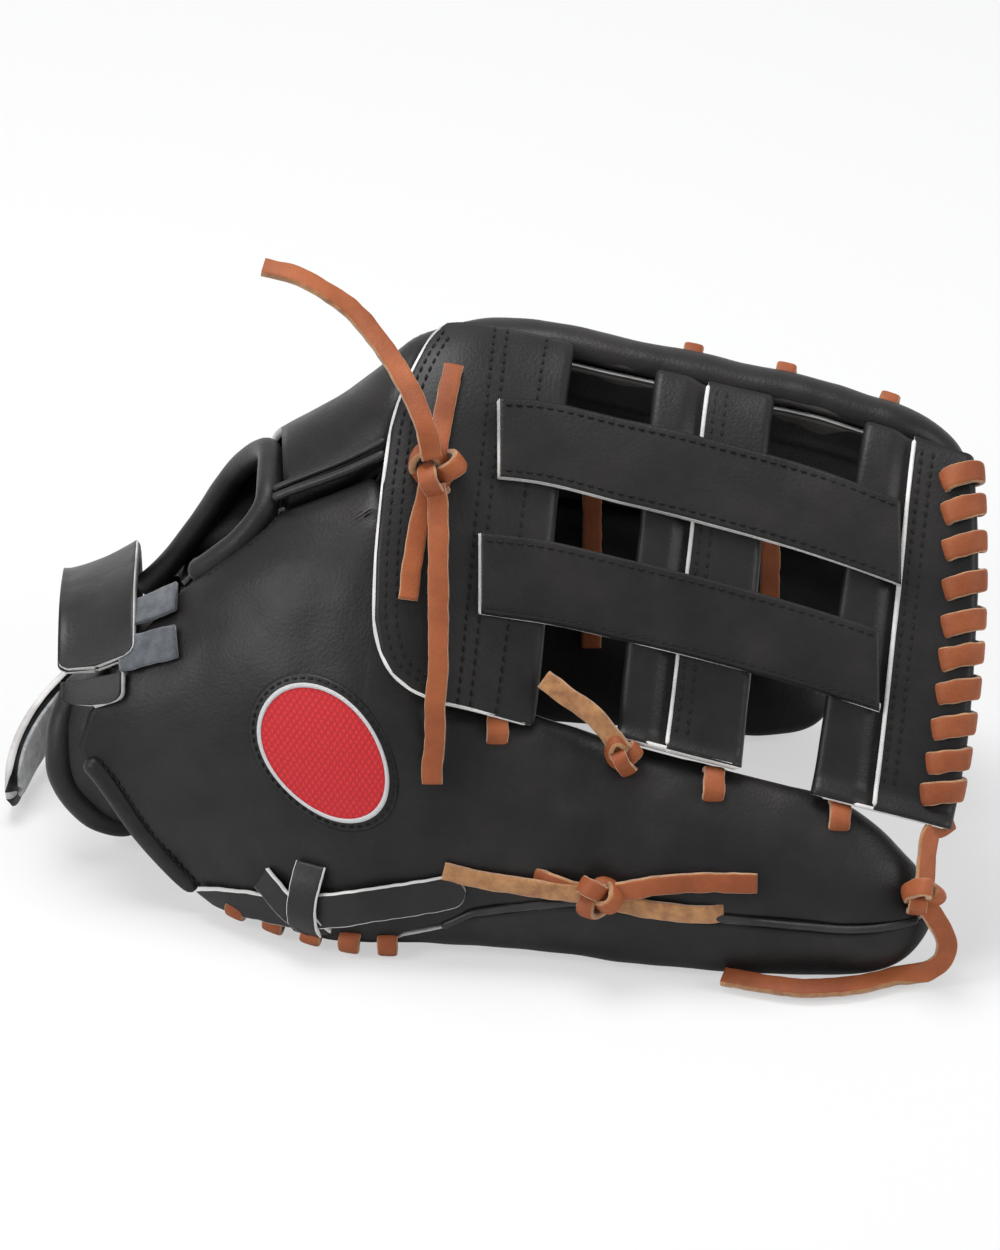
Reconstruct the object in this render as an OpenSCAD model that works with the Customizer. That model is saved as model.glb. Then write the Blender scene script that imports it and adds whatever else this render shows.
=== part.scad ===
// Baseball fielder's glove, 12.75 inch outfield pattern with an H web, worn on the left hand.
// It stands palm down: +X runs from the heel to the fingertips, the thumb is towards -Y,
// the little finger towards +Y, and +Z is up.
//
// Every leather piece lies on one form, a horseshoe that is swept along X.  A place on it is
// (x, s, h): s counts along the horseshoe from the thumb's seam (0) over the web (2 to 4) and
// the four fingers (4 to 8), and h is the distance out of the seam surface.

/* [Glove] */
// Length of the form, as a share of the 12.75 inch pattern
length_share = 1.0; // [0.95:0.01:1.05]
// Half the thickness of a finger stall
stall_half = 13; // [11.5:0.5:14.5]
// Half the thickness of the hand part, palm to back
hand_half = 17; // [15.5:0.5:18.5]
// Thickness of the shell leather
leather = 2.6; // [2:0.1:3]
// Thickness of the lining leather
lining = 1.4; // [1:0.1:1.8]
// Thickness of the plastic stiffeners in the thumb and the little finger
stiffener = 2.0; // [1.6:0.1:2.4]
// Thickness of the felt pad in the heel
felt = 5; // [4:0.5:6]
// Gap left between two pieces that are sewn or laced together
fit_gap = 0.3; // [0.25:0.05:0.4]

/* [Web] */
// Thickness of a web panel, a folded loop of leather
panel = 5; // [4:0.5:6]
// Width of the two long strips
strip_w = 25; // [22:1:28]
// Thickness of the two long strips
strip_thick = 4; // [3.4:0.2:4.6]

/* [Lacing] */
// Width of the rawhide lace
lace_w = 6.4; // [5.6:0.2:7]
// Thickness of the rawhide lace
lace_t = 2.4; // [2:0.1:2.8]
// Radius of the rolled binding round the back opening
binding_r = 4; // [3.4:0.2:4.6]
// Radius of the padded cuff round the wrist
cuff_r = 4.6; // [4:0.2:5.2]

/* [Strap] */
// Width of the wrist strap
strap_w = 24; // [20:1:28]
// Thickness of the wrist strap
strap_t = 3; // [2.6:0.2:3.4]

/* [Hidden] */

black = [0.09, 0.09, 0.095];
tan = [0.55, 0.22, 0.12];
felt_grey = [0.3, 0.31, 0.33];

// The horseshoe at every 30 mm along X: nine places (y, z) on the seam surface.
station_0 = -140;
station_step = 30;
form = [
  [[72,26], [70,42], [75,56], [84,64], [97,63], [117,56], [131,47], [136,37], [131,20]],
  [[56,10], [57,40], [65,65], [81,80], [100,79], [122,71], [139,54], [145,36], [138,8]],
  [[34,5], [42,45], [54,78], [76,106], [102,113], [132,101], [152,76], [157,41], [145,4]],
  [[20,3], [30,45], [44,83], [70,120], [104,134], [137,112], [157,82], [163,43], [150,3]],
  [[18,3], [25,42], [40,83], [71,129], [112,156], [142,126], [161,88], [166,45], [152,3]],
  [[14,3], [19,41], [34,77], [66,130], [113,163], [140,129], [158,89], [163,45], [150,3]],
  [[8,2], [13,37], [28,70], [62,122], [109,159], [136,124], [154,87], [159,44], [147,3]],
  [[3,2], [8,33], [24,63], [59,114], [106,153], [132,120], [149,83], [155,41], [144,2]],
  [[1,2], [5,29], [21,56], [56,107], [102,148], [127,115], [143,79], [148,38], [139,2]],
  [[0,2], [4,26], [18,49], [52,100], [96,141], [120,109], [134,75], [138,36], [130,2]],
  [[2,4], [5,25], [16,42], [48,92], [90,135], [112,104], [124,72], [127,36], [120,5]]
];
last_station = len(form) - 1;
last_place = len(form[0]) - 1;
// The form's place in the part's frame
mid_x = -1.6;
mid_y = 84.6;
floor_z = 2;

function clamp(v, lo, hi) = min(hi, max(lo, v));
function mix(a, b, t) = a + (b - a) * t;
function ease(t) = let(u = clamp(t, 0, 1)) u * u * (3 - 2 * u);
function unit(v) = v / max(norm(v), 1e-9);
// Catmull-Rom through p1 and p2
function spline(p0, p1, p2, p3, t) =
  0.5 * (2 * p1 + (p2 - p0) * t + (2 * p0 - 5 * p1 + 4 * p2 - p3) * t * t
         + (3 * p1 - p0 - 3 * p2 + p3) * t * t * t);
function place_at(k, x) =
  let(u = clamp((x - station_0) / station_step, 0, last_station),
      i = min(floor(u), last_station - 1))
  spline(form[max(i - 1, 0)][k], form[i][k], form[i + 1][k], form[min(i + 2, last_station)][k], u - i);
function seam(x, s) =
  let(u = clamp(s, 0, last_place), j = min(floor(u), last_place - 1))
  spline(place_at(max(j - 1, 0), x), place_at(j, x), place_at(j + 1, x),
         place_at(min(j + 2, last_place), x), u - j);
function outward(x, s) =
  let(d = seam(x, min(s + 0.08, last_place)) - seam(x, max(s - 0.08, 0))) unit([-d[1], d[0]]);
function at(x, s, h) =
  let(p = seam(x, s), n = outward(x, s))
  [x * length_share - mid_x, p[0] - mid_y + n[0] * h, p[1] - floor_z + n[1] * h];
// Millimetres along the horseshoe for one step of s
thumb_unit = 37;
web_unit = 66;
finger_unit = 44;

// ---- Solids between two surfaces, given as functions of (t, q), both 0 to 1
module between(outer, inner, nt, nq) {
  row = nq + 1;
  half = (nt + 1) * row;
  points = concat([for (i = [0 : nt], j = [0 : nq]) outer(i / nt, j / nq)],
                  [for (i = [0 : nt], j = [0 : nq]) inner(i / nt, j / nq)]);
  skins = [for (i = [0 : nt - 1], j = [0 : nq - 1]) let(a = i * row + j)
    each [[a, a + row, a + row + 1], [a, a + row + 1, a + 1],
          [half + a, half + a + row + 1, half + a + row], [half + a, half + a + 1, half + a + row + 1]]];
  sides = [for (i = [0 : nt - 1]) let(a = i * row, b = i * row + nq)
    each [[a, half + a + row, a + row], [a, half + a, half + a + row],
          [b, b + row, half + b + row], [b, half + b + row, half + b]]];
  ends = [for (j = [0 : nq - 1]) let(a = j, b = nt * row + j)
    each [[a, a + 1, half + a + 1], [a, half + a + 1, half + a],
          [b, half + b + 1, b + 1], [b, half + b, half + b + 1]]];
  polyhedron(points, concat(skins, sides, ends), convexity = 8);
}
// A band of constant width and thickness along points, with its face turned to the normals
module band(points, normals, w, t) {
  n = len(points) - 1;
  dirs = [for (i = [0 : n]) unit(points[min(i + 1, n)] - points[max(i - 1, 0)])];
  rings = [for (i = [0 : n]) let(c = unit(cross(dirs[i], normals[i])), m = unit(cross(c, dirs[i])))
    each [points[i] + c * w / 2 + m * t / 2, points[i] - c * w / 2 + m * t / 2,
          points[i] - c * w / 2 - m * t / 2, points[i] + c * w / 2 - m * t / 2]];
  sides = [for (i = [0 : n - 1], k = [0 : 3]) let(a = i * 4 + k, b = i * 4 + (k + 1) % 4)
    each [[a, b, b + 4], [a, b + 4, a + 4]]];
  polyhedron(rings, concat(sides, [[3, 2, 1], [3, 1, 0]],
    [[4 * n, 4 * n + 1, 4 * n + 2], [4 * n, 4 * n + 2, 4 * n + 3]]), convexity = 6);
}
// A round cord or roll along points
module tube(points, r, sides = 8, closed = false) {
  n = len(points);
  dirs = [for (i = [0 : n - 1])
    unit(closed ? points[(i + 1) % n] - points[(i + n - 1) % n]
                : points[min(i + 1, n - 1)] - points[max(i - 1, 0)])];
  rings = [for (i = [0 : n - 1])
    let(ref = abs(dirs[i][0]) < 0.8 ? [1, 0, 0] : [0, 0, 1],
        c = unit(cross(dirs[i], ref)), m = cross(c, dirs[i]))
    for (k = [0 : sides - 1]) points[i] + (c * cos(360 * k / sides) + m * sin(360 * k / sides)) * r];
  last = closed ? n - 1 : n - 2;
  walls = [for (i = [0 : last], k = [0 : sides - 1])
    let(a = i * sides + k, b = i * sides + (k + 1) % sides,
        c = ((i + 1) % n) * sides + k, d = ((i + 1) % n) * sides + (k + 1) % sides)
    each [[a, c, d], [a, d, b]]];
  caps = closed ? [] : [[for (k = [0 : sides - 1]) k],
                        [for (k = [sides - 1 : -1 : 0]) (n - 1) * sides + k]];
  polyhedron(rings, concat(walls, caps), convexity = 8);
}
function smooth_path(p, n) =
  let(m = len(p) - 1)
  [for (i = [0 : m * n]) let(u = i / n, k = min(floor(u), m - 1))
    spline(p[max(k - 1, 0)], p[k], p[k + 1], p[min(k + 2, m)], u - k)];

// ---- The flex line: the thumb and the web turn about the ridge where the web meets the index
hinge_from = at(-30, 4, 5);
hinge_to = at(130, 4, 5);
hinge_dir = unit(hinge_to - hinge_from);
patch_step = 12;
function flex_step(p) = patch_step * ease((norm(cross(p - hinge_from, hinge_dir)) - 80) / 15);
function flex_next(x, s, h) =
  let(p = at(x, s, h)) x + (flex_step(p) - (p - hinge_from) * hinge_dir) / hinge_dir[0] / length_share;
function flex_x(s, h) = flex_next(flex_next(flex_next(flex_next(-35, s, h), s, h), s, h), s, h);
flex_gap = 0.8;
flex_clear = 2.4;

// ---- Stalls
stall_tip = [139, 150, 150, 138, 108];
tip_round = [36, 26, 26, 26, 30];
seam_gap = 0.9;
function half_thick(x) = mix(hand_half, stall_half, ease((x + 30) / 50));
function low_edge(k, x) = k == 0 ? 0.02 : k == 1 ? mix(3.43, 4.04, ease((x + 37) / 17)) : 3.03 + k;
function step_mm(k) = k == 0 ? thumb_unit : finger_unit;
// A point of stall k's skin. angle 0 to 180 is the back half and 180 to 360 the palm half.
function skin(k, x, tip, angle, inset, high, power) =
  let(start = stall_tip[k] - tip_round[k],
      f = x < start ? 1 : sqrt(max(0.008, 1 - pow((x - start) / (tip - start), 2))),
      lo = low_edge(k, x) + inset / step_mm(k), hi = high - inset / step_mm(k),
      c = cos(angle), q = -sign(c) * pow(abs(c), 2 / power), side = sin(angle) < -1e-6 ? -1 : 1,
      b = (half_thick(x) - inset) * pow(f, 0.8))
  at(x, (lo + hi) / 2 + q * (hi - lo) / 2 * f,
     side * (seam_gap + max(0.1, b - seam_gap) * pow(abs(sin(angle)), 2 / power)));
function along(rear, tip, t) = mix(rear, tip, 1 - pow(1 - t, 1.5));

seam_angle = 0.01;
// The rear edge of the backs slants from the index to the little finger's side of the wrist, over s
back_rear = [[3.4, -69], [4.5, -71], [5, -77], [5.5, -88], [6, -104], [6.5, -115], [7, -121], [8, -124]];
module half_stall(k, side, high, nt = 15, nv = 12) {
  function point(t, v, inset) =
    let(tip = stall_tip[k] - inset, turn = mix(seam_angle, 180 - seam_angle, v), c = cos(turn),
        s = mix(low_edge(k, knuckle_x - 50), high, (1 - sign(c) * pow(abs(c), 2 / 2.4)) / 2),
        rear = side > 0 ? lookup(s, back_rear) : knuckle_x)
    skin(k, along(rear, tip, t), tip, side > 0 ? turn : 360 - turn, inset, high, 2.4);
  if (side > 0) between(function(t, v) point(t, v, 0), function(t, v) point(t, v, leather), nt, nv);
  else between(function(t, v) point(t, v, leather), function(t, v) point(t, v, 0), nt, nv);
}
finger_high = [2.02, 4.97, 5.97, 6.97, 7.98];
knuckle_x = -20;
module index_back() color(black) half_stall(1, 1, finger_high[1]);
module middle_back() color(black) half_stall(2, 1, finger_high[2]);
module ring_back() color(black) half_stall(3, 1, finger_high[3]);
// The little finger's edge is pressed flat where the glove stands on it
module pinky_back() color(black)
  difference() {
    half_stall(4, 1, finger_high[4]);
    translate([-140, 0, -20]) cube([260, 120, 20]);
  }
module index_front() color(black) half_stall(1, -1, finger_high[1]);
module middle_front() color(black) half_stall(2, -1, finger_high[2]);
module ring_front() color(black) half_stall(3, -1, finger_high[3]);
module pinky_front() color(black) half_stall(4, -1, finger_high[4]);

// A stall's lining: one tube, open along the seam, with its mouth at the knuckles
module stall_lining(k, rear, inset, high) {
  function point(t, v, more) =
    let(tip = stall_tip[k] - inset - more)
    skin(k, along(rear, tip, t), tip, mix(4, 356, v), inset + more, high, 2.4);
  between(function(t, v) point(t, v, 0), function(t, v) point(t, v, lining), 9, 14);
}
loose = 0.9;
plain_inset = leather + loose;
stiff_inset = leather + stiffener + 2 * loose;
module index_lining() color(felt_grey) stall_lining(1, knuckle_x + 10, plain_inset, finger_high[1]);
module middle_lining() color(felt_grey) stall_lining(2, knuckle_x, plain_inset, finger_high[2]);
module ring_lining() color(felt_grey) stall_lining(3, knuckle_x, plain_inset, finger_high[3]);
module pinky_lining() color(felt_grey) stall_lining(4, knuckle_x, stiff_inset, finger_high[4]);
module thumb_lining() color(felt_grey) stall_lining(0, -22, stiff_inset, finger_high[0]);

// A stiffener lines the back of a stall between the shell and the lining
module stall_stiffener(k, rear, front) {
  function point(t, v, inset) =
    skin(k, mix(rear, front, t), stall_tip[k] - inset, mix(35, 145, v), inset, finger_high[k], 2.4);
  between(function(t, v) point(t, v, plain_inset),
          function(t, v) point(t, v, plain_inset + stiffener), 8, 8);
}
module pinky_stiffener() color("dimgray") stall_stiffener(4, -10, 82);
module thumb_stiffener() color("dimgray") stall_stiffener(0, -15, 106);

// The thumb's shell: its root stays with the hand and its stall turns at the flex line
root_high = 3.4;
root_rear = [[-1, -97], [-0.65, -118], [-0.24, -136], [0.18, -129], [0.41, -124], [0.56, -117], [0.7, -109],
             [0.76, -105], [0.79, -94], [0.82, -82], [0.88, -75], [1, -68]];
module thumb_heel() {
  function point(t, v, inset) =
    let(c = cos(180 * v), q = -sign(c) * pow(abs(c), 2 / 3.4),
        s = mix(0.02 + inset / thumb_unit, root_high - inset / web_unit, (q + 1) / 2),
        h = seam_gap + (hand_half - inset - seam_gap) * pow(abs(sin(180 * v)), 2 / 3.4),
        front = flex_x(s, h) - flex_gap / length_share)
    at(mix(lookup(q, root_rear), front, t), s, h);
  color(black) between(function(t, v) point(t, v, 0), function(t, v) point(t, v, leather), 10, 24);
}
// The palm leather wraps round the thumb's edge, up to a seam on the side that faces outward
split_angle = [[-40, 30], [-10, 62], [30, 76], [100, 80], [139, 80]];
split_half = 3.9;
module thumb_half(side) {
  function point(t, v, inset) =
    let(tip = stall_tip[0] - inset, cut = lookup(along(-31, tip, t), split_angle),
        angle = side > 0 ? mix(cut + split_half, 180 - seam_angle, v)
                         : mix(360 + cut - split_half, 180 + seam_angle, v),
        c = cos(angle), s = 1.02 - sign(c) * pow(abs(c), 2 / 2.4),
        h = (sin(angle) < 0 ? -1 : 1) * stall_half * pow(abs(sin(angle)), 2 / 2.4))
    skin(0, along(flex_x(s, h), tip, t), tip, angle, inset, finger_high[0], 2.4);
  if (side > 0) between(function(t, v) point(t, v, 0), function(t, v) point(t, v, leather), 16, 12);
  else between(function(t, v) point(t, v, leather), function(t, v) point(t, v, 0), 16, 20);
}
module thumb_back() color(black) thumb_half(1);
module thumb_front() color(black) thumb_half(-1);

// ---- Welts: strips sewn into the seams
welt_half = 0.55;
welt_out = 1.6;
module welt(points_s, x_from, x_to, inside, outside) {
  function point(t, v, h) =
    let(x = mix(x_from, x_to, t)) at(x, mix(points_s(x) - inside, points_s(x) + outside, v), h);
  between(function(t, v) point(t, v, welt_half), function(t, v) point(t, v, -welt_half), 12, 1);
}
module finger_welts() color(black)
  for (k = [1 : 3])
    welt(function(x) 4 + k, knuckle_x + 13, stall_tip[k] - tip_round[k] - 2, 2.6 / finger_unit, 2.6 / finger_unit);
module pinky_welt() color(black)
  welt(function(x) 7.94, knuckle_x + 6, stall_tip[4] - tip_round[4], 2 / finger_unit, 2 / finger_unit);
thumb_welt_r = 0.9;
thumb_welt_from = -8;
thumb_welt_to = 124;
thumb_welt_step = 12;
module thumb_welt() color(black)
  tube([for (x = [thumb_welt_from : thumb_welt_step : thumb_welt_to])
         skin(0, x, stall_tip[0], lookup(x, split_angle), 0, finger_high[0], 2.4)], thumb_welt_r, 6);

// ---- Palm: one bowl of leather that rises from the flat heel to the knuckles
palm_rear = [[0, -95], [0.12, -110], [0.3, -121], [0.5, -124], [0.7, -122], [0.9, -112], [1, -104]];
heel_arch = 12;
heel_flat_x = -100;
heel_rise = 78;
function palm_at(x, v, level) =
  let(s = mix(0.1, 7.9, v), edge = pow(1 - pow(abs(2 * v - 1), 8), 1 / 6),
      deep = at(x, s, -half_thick(x) * edge + level),
      flat = mix(at(x, 0.1, 0), at(x, 7.9, 0), v) + [0, 0, heel_arch * sin(180 * v) + level],
      k = 1 - ease((x - heel_flat_x) / heel_rise))
  mix(deep, flat, k);
function palm_front(v) =
  let(s = mix(0.1, 7.9, v)) s < 4 ? flex_x(s, -hand_half) - flex_clear : mix(-31.5, knuckle_x - 0.6, ease((s - 4) / 0.15));
module palm_layer(low, high, v0, v1, shrink_rear, shrink_front, nt, nv) {
  function point(t, v, level) =
    let(u = mix(v0, v1, v))
    palm_at(mix(lookup(u, palm_rear) + shrink_rear, palm_front(u) - shrink_front, t), u, level);
  between(function(t, v) point(t, v, high), function(t, v) point(t, v, low), nt, nv);
}
module palm() color(black) palm_layer(0, leather, 0, 1, 0, 0, 12, 30);
module heel_pad() color("slategray")
  palm_layer(leather + loose, leather + loose + felt, 0.18, 0.82, 10, 34, 10, 20);
module palm_lining() color(felt_grey)
  palm_layer(leather + felt + 2 * loose, leather + felt + 2 * loose + lining, 0.18, 0.82, 10, 10, 10, 20);

// ---- Rolled edges
opening_rim = [[-99, 3.22], [-95, 3.17], [-90, 3.17], [-84, 3.2], [-79, 3.29], [-75, 3.43], [-74, 3.65],
               [-74, 4.2], [-77.5, 4.6], [-84.5, 5], [-90, 5.25], [-96, 5.5], [-105, 5.75], [-112, 6], [-118, 6.25]];
module opening_binding() color(black)
  tube(smooth_path([for (p = opening_rim) at(p[0], p[1], 12)], 2), binding_r, 8);
cuff_near = [[-134, 3, 53], [-139, -4, 46], [-140.5, -9, 38], [-140, -12, 29], [-135.5, -14, 21], [-128, -14, 14],
             [-119, -10, 10]];
cuff_under = [[-116, 2, 12], [-120, 16, 14], [-122, 30, 12]];
cuff_far = [[-126, 7.7, 0], [-130, 7.2, 3], [-126, 6.6, 8]];
module wrist_cuff() color(black)
  tube(smooth_path(concat([at(-124, 2.3, 5)], cuff_near, cuff_under,
                          [for (p = cuff_far) at(p[0], p[1], p[2])]), 2), cuff_r, 8);

// ---- Web: three cross panels, each a folded loop of leather, and two long strips over them
function web_h(x) = mix(hand_half + 1.2, 3, ease((x + 37) / 60));
web_low = 2.12;
web_high = 3.95;
module web_panel(left, right, low, high, lift, thick, nt, nv) {
  function point(t, v, h) = let(s = mix(low, high, v), x = mix(left(v), right(v), t)) at(x, s, web_h(x) + h);
  between(function(t, v) point(t, v, lift + thick), function(t, v) point(t, v, lift), nt, nv);
}
function corner(v, share, r) =
  let(d = min(v, 1 - v), c = clamp((share - d) / share, 0, 1)) r * (1 - sqrt(1 - c * c));
base_low = 2.04;
base_high = 4;
function base_rear(v) =
  max(-37 + corner(v, 0.2, 20), flex_x(mix(base_low, base_high, v), hand_half) + 1.4 * flex_clear);
module web_base() color(black)
  web_panel(function(v) base_rear(v), function(v) mix(11, 24, v), base_low, base_high, 0, panel, 6, 16);
module web_crossbar() color(black)
  web_panel(function(v) mix(37, 50, v), function(v) mix(77, 88, v), web_low, web_high, 0, panel, 4, 12);
module web_top() color(black)
  web_panel(function(v) mix(99, 117, v), function(v) mix(144, 152, v) + 4 * sin(180 * v),
            web_low, web_high, 0, panel, 4, 14);
strip_lift = panel + fit_gap;
strip_bow = 0.05;
module web_strip(s_from, s_to, x_from, x_to) {
  half = strip_w / 2 / web_unit;
  function point(t, v, h) =
    let(x = mix(x_from, x_to, t), s = mix(s_from, s_to, t) + strip_bow * sin(180 * t) + half * (2 * v - 1))
    at(x, s, web_h(x) + h);
  between(function(t, v) point(t, v, strip_lift + strip_thick), function(t, v) point(t, v, strip_lift), 14, 4);
}
module strip_upper() color(black) web_strip(3.35, 3.36, 0, 128);
module strip_lower() color(black) web_strip(2.68, 2.73, -6, 121);

// ---- What is laid on a face f(x, angle): its outward direction, a lifted place and a strip
function face_dir(f, x, a, step = 1) =
  unit(cross(f(x + 1, a) - f(x - 1, a), f(x, a + step) - f(x, a - step)));
function lifted(f, x, a, lift, step = 1) = f(x, a) + face_dir(f, x, a, step) * lift;
module laid(f, places, w, t, lift = fit_gap, step = 1)
  band([for (p = places) lifted(f, p[0], p[1], lift + t / 2, step)],
       [for (p = places) face_dir(f, p[0], p[1], step)], w, t);
thumb_face = function(x, a) skin(0, x, stall_tip[0], a, 0, finger_high[0], 2.4);
index_face = function(x, a) skin(1, x, stall_tip[1], a, 0, finger_high[1], 2.4);
root_face = function(x, a)
  let(c = cos(a), q = -sign(c) * pow(abs(c), 2 / 3.4))
  at(x, mix(0.02, root_high, (q + 1) / 2), seam_gap + (hand_half - seam_gap) * pow(abs(sin(a)), 2 / 3.4));
web_face = function(x, s) at(x, s, web_h(x) + panel);
strap_face = function(x, s) at(x, s, hand_half + 0.9);
by_s = 0.05;

// ---- Lacing
// A loop of lace round an edge: e is on the edge's middle, out leaves it, up is across its thickness
module edge_loop(e, out, up, thick, reach_in) {
  up_by = thick / 2 + lace_t / 2 + fit_gap;
  out_by = lace_t / 2 + fit_gap;
  band([e - out * reach_in + up * up_by, e + out * out_by * 0.4 + up * up_by, e + out * out_by * 2,
        e + out * out_by * 0.4 - up * up_by, e - out * reach_in - up * up_by],
       [up, unit(up + out * 0.6), out, unit(out * 0.6 - up), -up], lace_w, lace_t);
}
function top_edge(s) =
  let(v = (s - web_low) / (web_high - web_low)) mix(144, 152, v) + 4 * sin(180 * v);
function top_edge_at(s) = let(x = top_edge(s)) at(x, s, web_h(x) + panel / 2);
module web_top_lacing() color(tan)
  for (i = [0 : 9]) {
    s = mix(2.26, 3.84, i / 9);
    up = face_dir(web_face, top_edge(s), s, by_s);
    run = unit(top_edge_at(s + by_s) - top_edge_at(s - by_s));
    edge_loop(top_edge_at(s), unit(unit(cross(run, up)) - run * 0.25), up, panel + 2 * loose, 9);
  }
module thumb_edge_lacing() color(tan)
  for (x = [-1, 68, 108]) laid(thumb_face, [[x, 141], [x, 151], [x, 161]], lace_w, lace_t);
module index_lacing() color(tan)
  for (x = [62, 92, 125]) laid(index_face, [[x, 68], [x, 82], [x, 96]], lace_w, lace_t);
module finger_lacing() color(tan)
  for (x = [30, 88])
    band([for (s = [4.7 : 0.2 : 7.31]) at(x, s, -stall_half - lace_t / 2 - loose)],
         [for (s = [4.7 : 0.2 : 7.31]) let(n = outward(x, s)) [0, n[0], n[1]]], lace_w, lace_t);
function palm_edge(v) = palm_at(lookup(v, palm_rear), v, leather / 2);
module heel_lacing() color(tan) {
  for (x = [-84 : 12 : -36]) laid(root_face, [[x, 30], [x, 23], [x, 16]], lace_w, lace_t);
  for (v = [0.14 : 0.12 : 0.86]) {
    x = lookup(v, palm_rear);
    run = unit(palm_edge(v + 0.03) - palm_edge(v - 0.03));
    up = unit(cross(palm_at(x + 6, v, leather / 2) - palm_edge(v), run));
    edge_loop(palm_edge(v), unit(cross(up, run)), up, leather + loose, 6);
  }
}
// Knots, each with its short ends
web_lace_lift = fit_gap;
base_knot_at = lifted(web_face, -21, 3.17, 6.8, by_s);
module base_knot() color(tan) {
  hull() {
    translate(base_knot_at) sphere(r = 6.5, $fn = 14);
    translate(lifted(web_face, -19, 2.98, 6.4, by_s)) sphere(r = 6, $fn = 14);
  }
  laid(web_face, [[-20, 3.25], [-18, 3.45], [-15, 3.66]], lace_w, lace_t, web_lace_lift, by_s);
  laid(web_face, [[-24, 3.05], [-27, 2.82], [-29, 2.55]], lace_w, lace_t, web_lace_lift, by_s);
}
module crossbar_knot() color(tan) {
  translate(lifted(thumb_face, 39, 150, 5.3)) sphere(r = 5, $fn = 14);
  band([lifted(thumb_face, 37, 150, 5), at(30, 2.14, 14.5), at(22, 2.2, 13), at(14, 2.26, 11.5)],
       [for (p = [[37, 2], [30, 2.14], [22, 2.2], [14, 2.26]])
         let(n = outward(p[0], p[1])) [0, n[0], n[1]]], lace_w, lace_t);
}
top_knot_at = lifted(thumb_face, 132, 100, 6.3);
module top_knot() color(tan) {
  translate(top_knot_at) sphere(r = 6, $fn = 14);
  band([top_knot_at, at(141, 1.62, 9), at(143, 1.9, 6), at(143, 2.06, 4.5)],
       [for (p = [[136, 1.2], [141, 1.62], [143, 1.9], [143, 2.06]])
         let(n = outward(p[0], p[1])) [0, n[0], n[1]]], lace_w, lace_t);
}
tie_lift = 1.5;
module thumb_tie() color(tan) {
  translate(lifted(thumb_face, 32, 81, 5.9)) sphere(r = 5.5, $fn = 14);
  laid(thumb_face, [[-14, 80], [-2, 79], [12, 79], [28, 80]], 4.6, lace_t, tie_lift);
  laid(thumb_face, [[35, 81], [48, 86], [61, 89], [80, 92]], lace_w, lace_t, tie_lift);
  laid(thumb_face, [[35, 80], [52, 79], [70, 80]], 4.6, lace_t, tie_lift);
}
module thumb_loop() color(black) {
  laid(root_face, [[-92, 45], [-82, 48], [-70, 50], [-54, 52]], 11, 2);
  laid(root_face, [[-58, 63], [-58, 55], [-58, 47], [-58, 40]], 8, 2, 2 + 2 * fit_gap);
}
module thumb_loop_tail() color(black)
  laid(thumb_face, [[-26, 52], [-20, 51], [-14, 51]], 9, 2);

// ---- Patch: an oval on the root of the thumb
patch_at = [-56.5, 1.52];
patch_half = [22.6, 17.2];
patch_thick = 1.6;
patch_tilt = 31.5;
function root_out(s) = hand_half * pow(max(0.01, 1 - pow(abs((s - 1.7) / 1.7), 3.4)), 1 / 3.4);
module logo_patch() {
  function point(t, v, h) =
    let(a = mix(4, 176, t), m = -cos(a) * patch_half[0], n = sin(a) * patch_half[1] * (2 * v - 1),
        x = patch_at[0] + m * cos(patch_tilt) + n * sin(patch_tilt),
        s = patch_at[1] + (-m * sin(patch_tilt) + n * cos(patch_tilt)) / thumb_unit)
    at(x, s, root_out(s) + h);
  color([0.65, 0.05, 0.06])
    between(function(t, v) point(t, v, fit_gap + patch_thick), function(t, v) point(t, v, fit_gap), 12, 6);
}

// ---- Wrist strap: a band over the wrist, its anchor at the thumb and its free tab
strap_x = -130;
module wrist_strap() color(black)
  laid(strap_face, [for (i = [0 : 17]) [strap_x, mix(2.45, 7.94, i / 17)]], strap_w, strap_t, fit_gap, by_s);
module strap_anchor() color(black)
  laid(strap_face, [[-130, 2.28], [-131, 2.16], [-132, 2]], 20, 3, fit_gap, by_s);
module anchor_legs() color(felt_grey)
  for (a = [126, 106]) laid(root_face, [[-117, a], [-111, a], [-104, a]], 11, 2, loose);
tab_root = at(-134, 8, 16) + [-2, -1.6, 6];
tab_end = [-157, 5, 11];
tab_dir = unit(tab_end - tab_root);
tab_out = unit(cross(tab_dir, [0, 0, 1]));
function tab_at(t, lift) = mix(tab_root, tab_end, t) + tab_out * (lift + 4 * sin(180 * t));
module strap_tab() color(black)
  band([for (t = [0, 0.3, 0.65, 1]) tab_at(t, 0)], [for (i = [0 : 3]) tab_out], 20, strap_t);
module tab_hook() color("silver")
  band([for (t = [0.35, 0.65, 0.95]) tab_at(t, -strap_t / 2 - 0.7 - fit_gap)], [for (i = [0 : 2]) tab_out], 16, 1.4);

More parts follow.
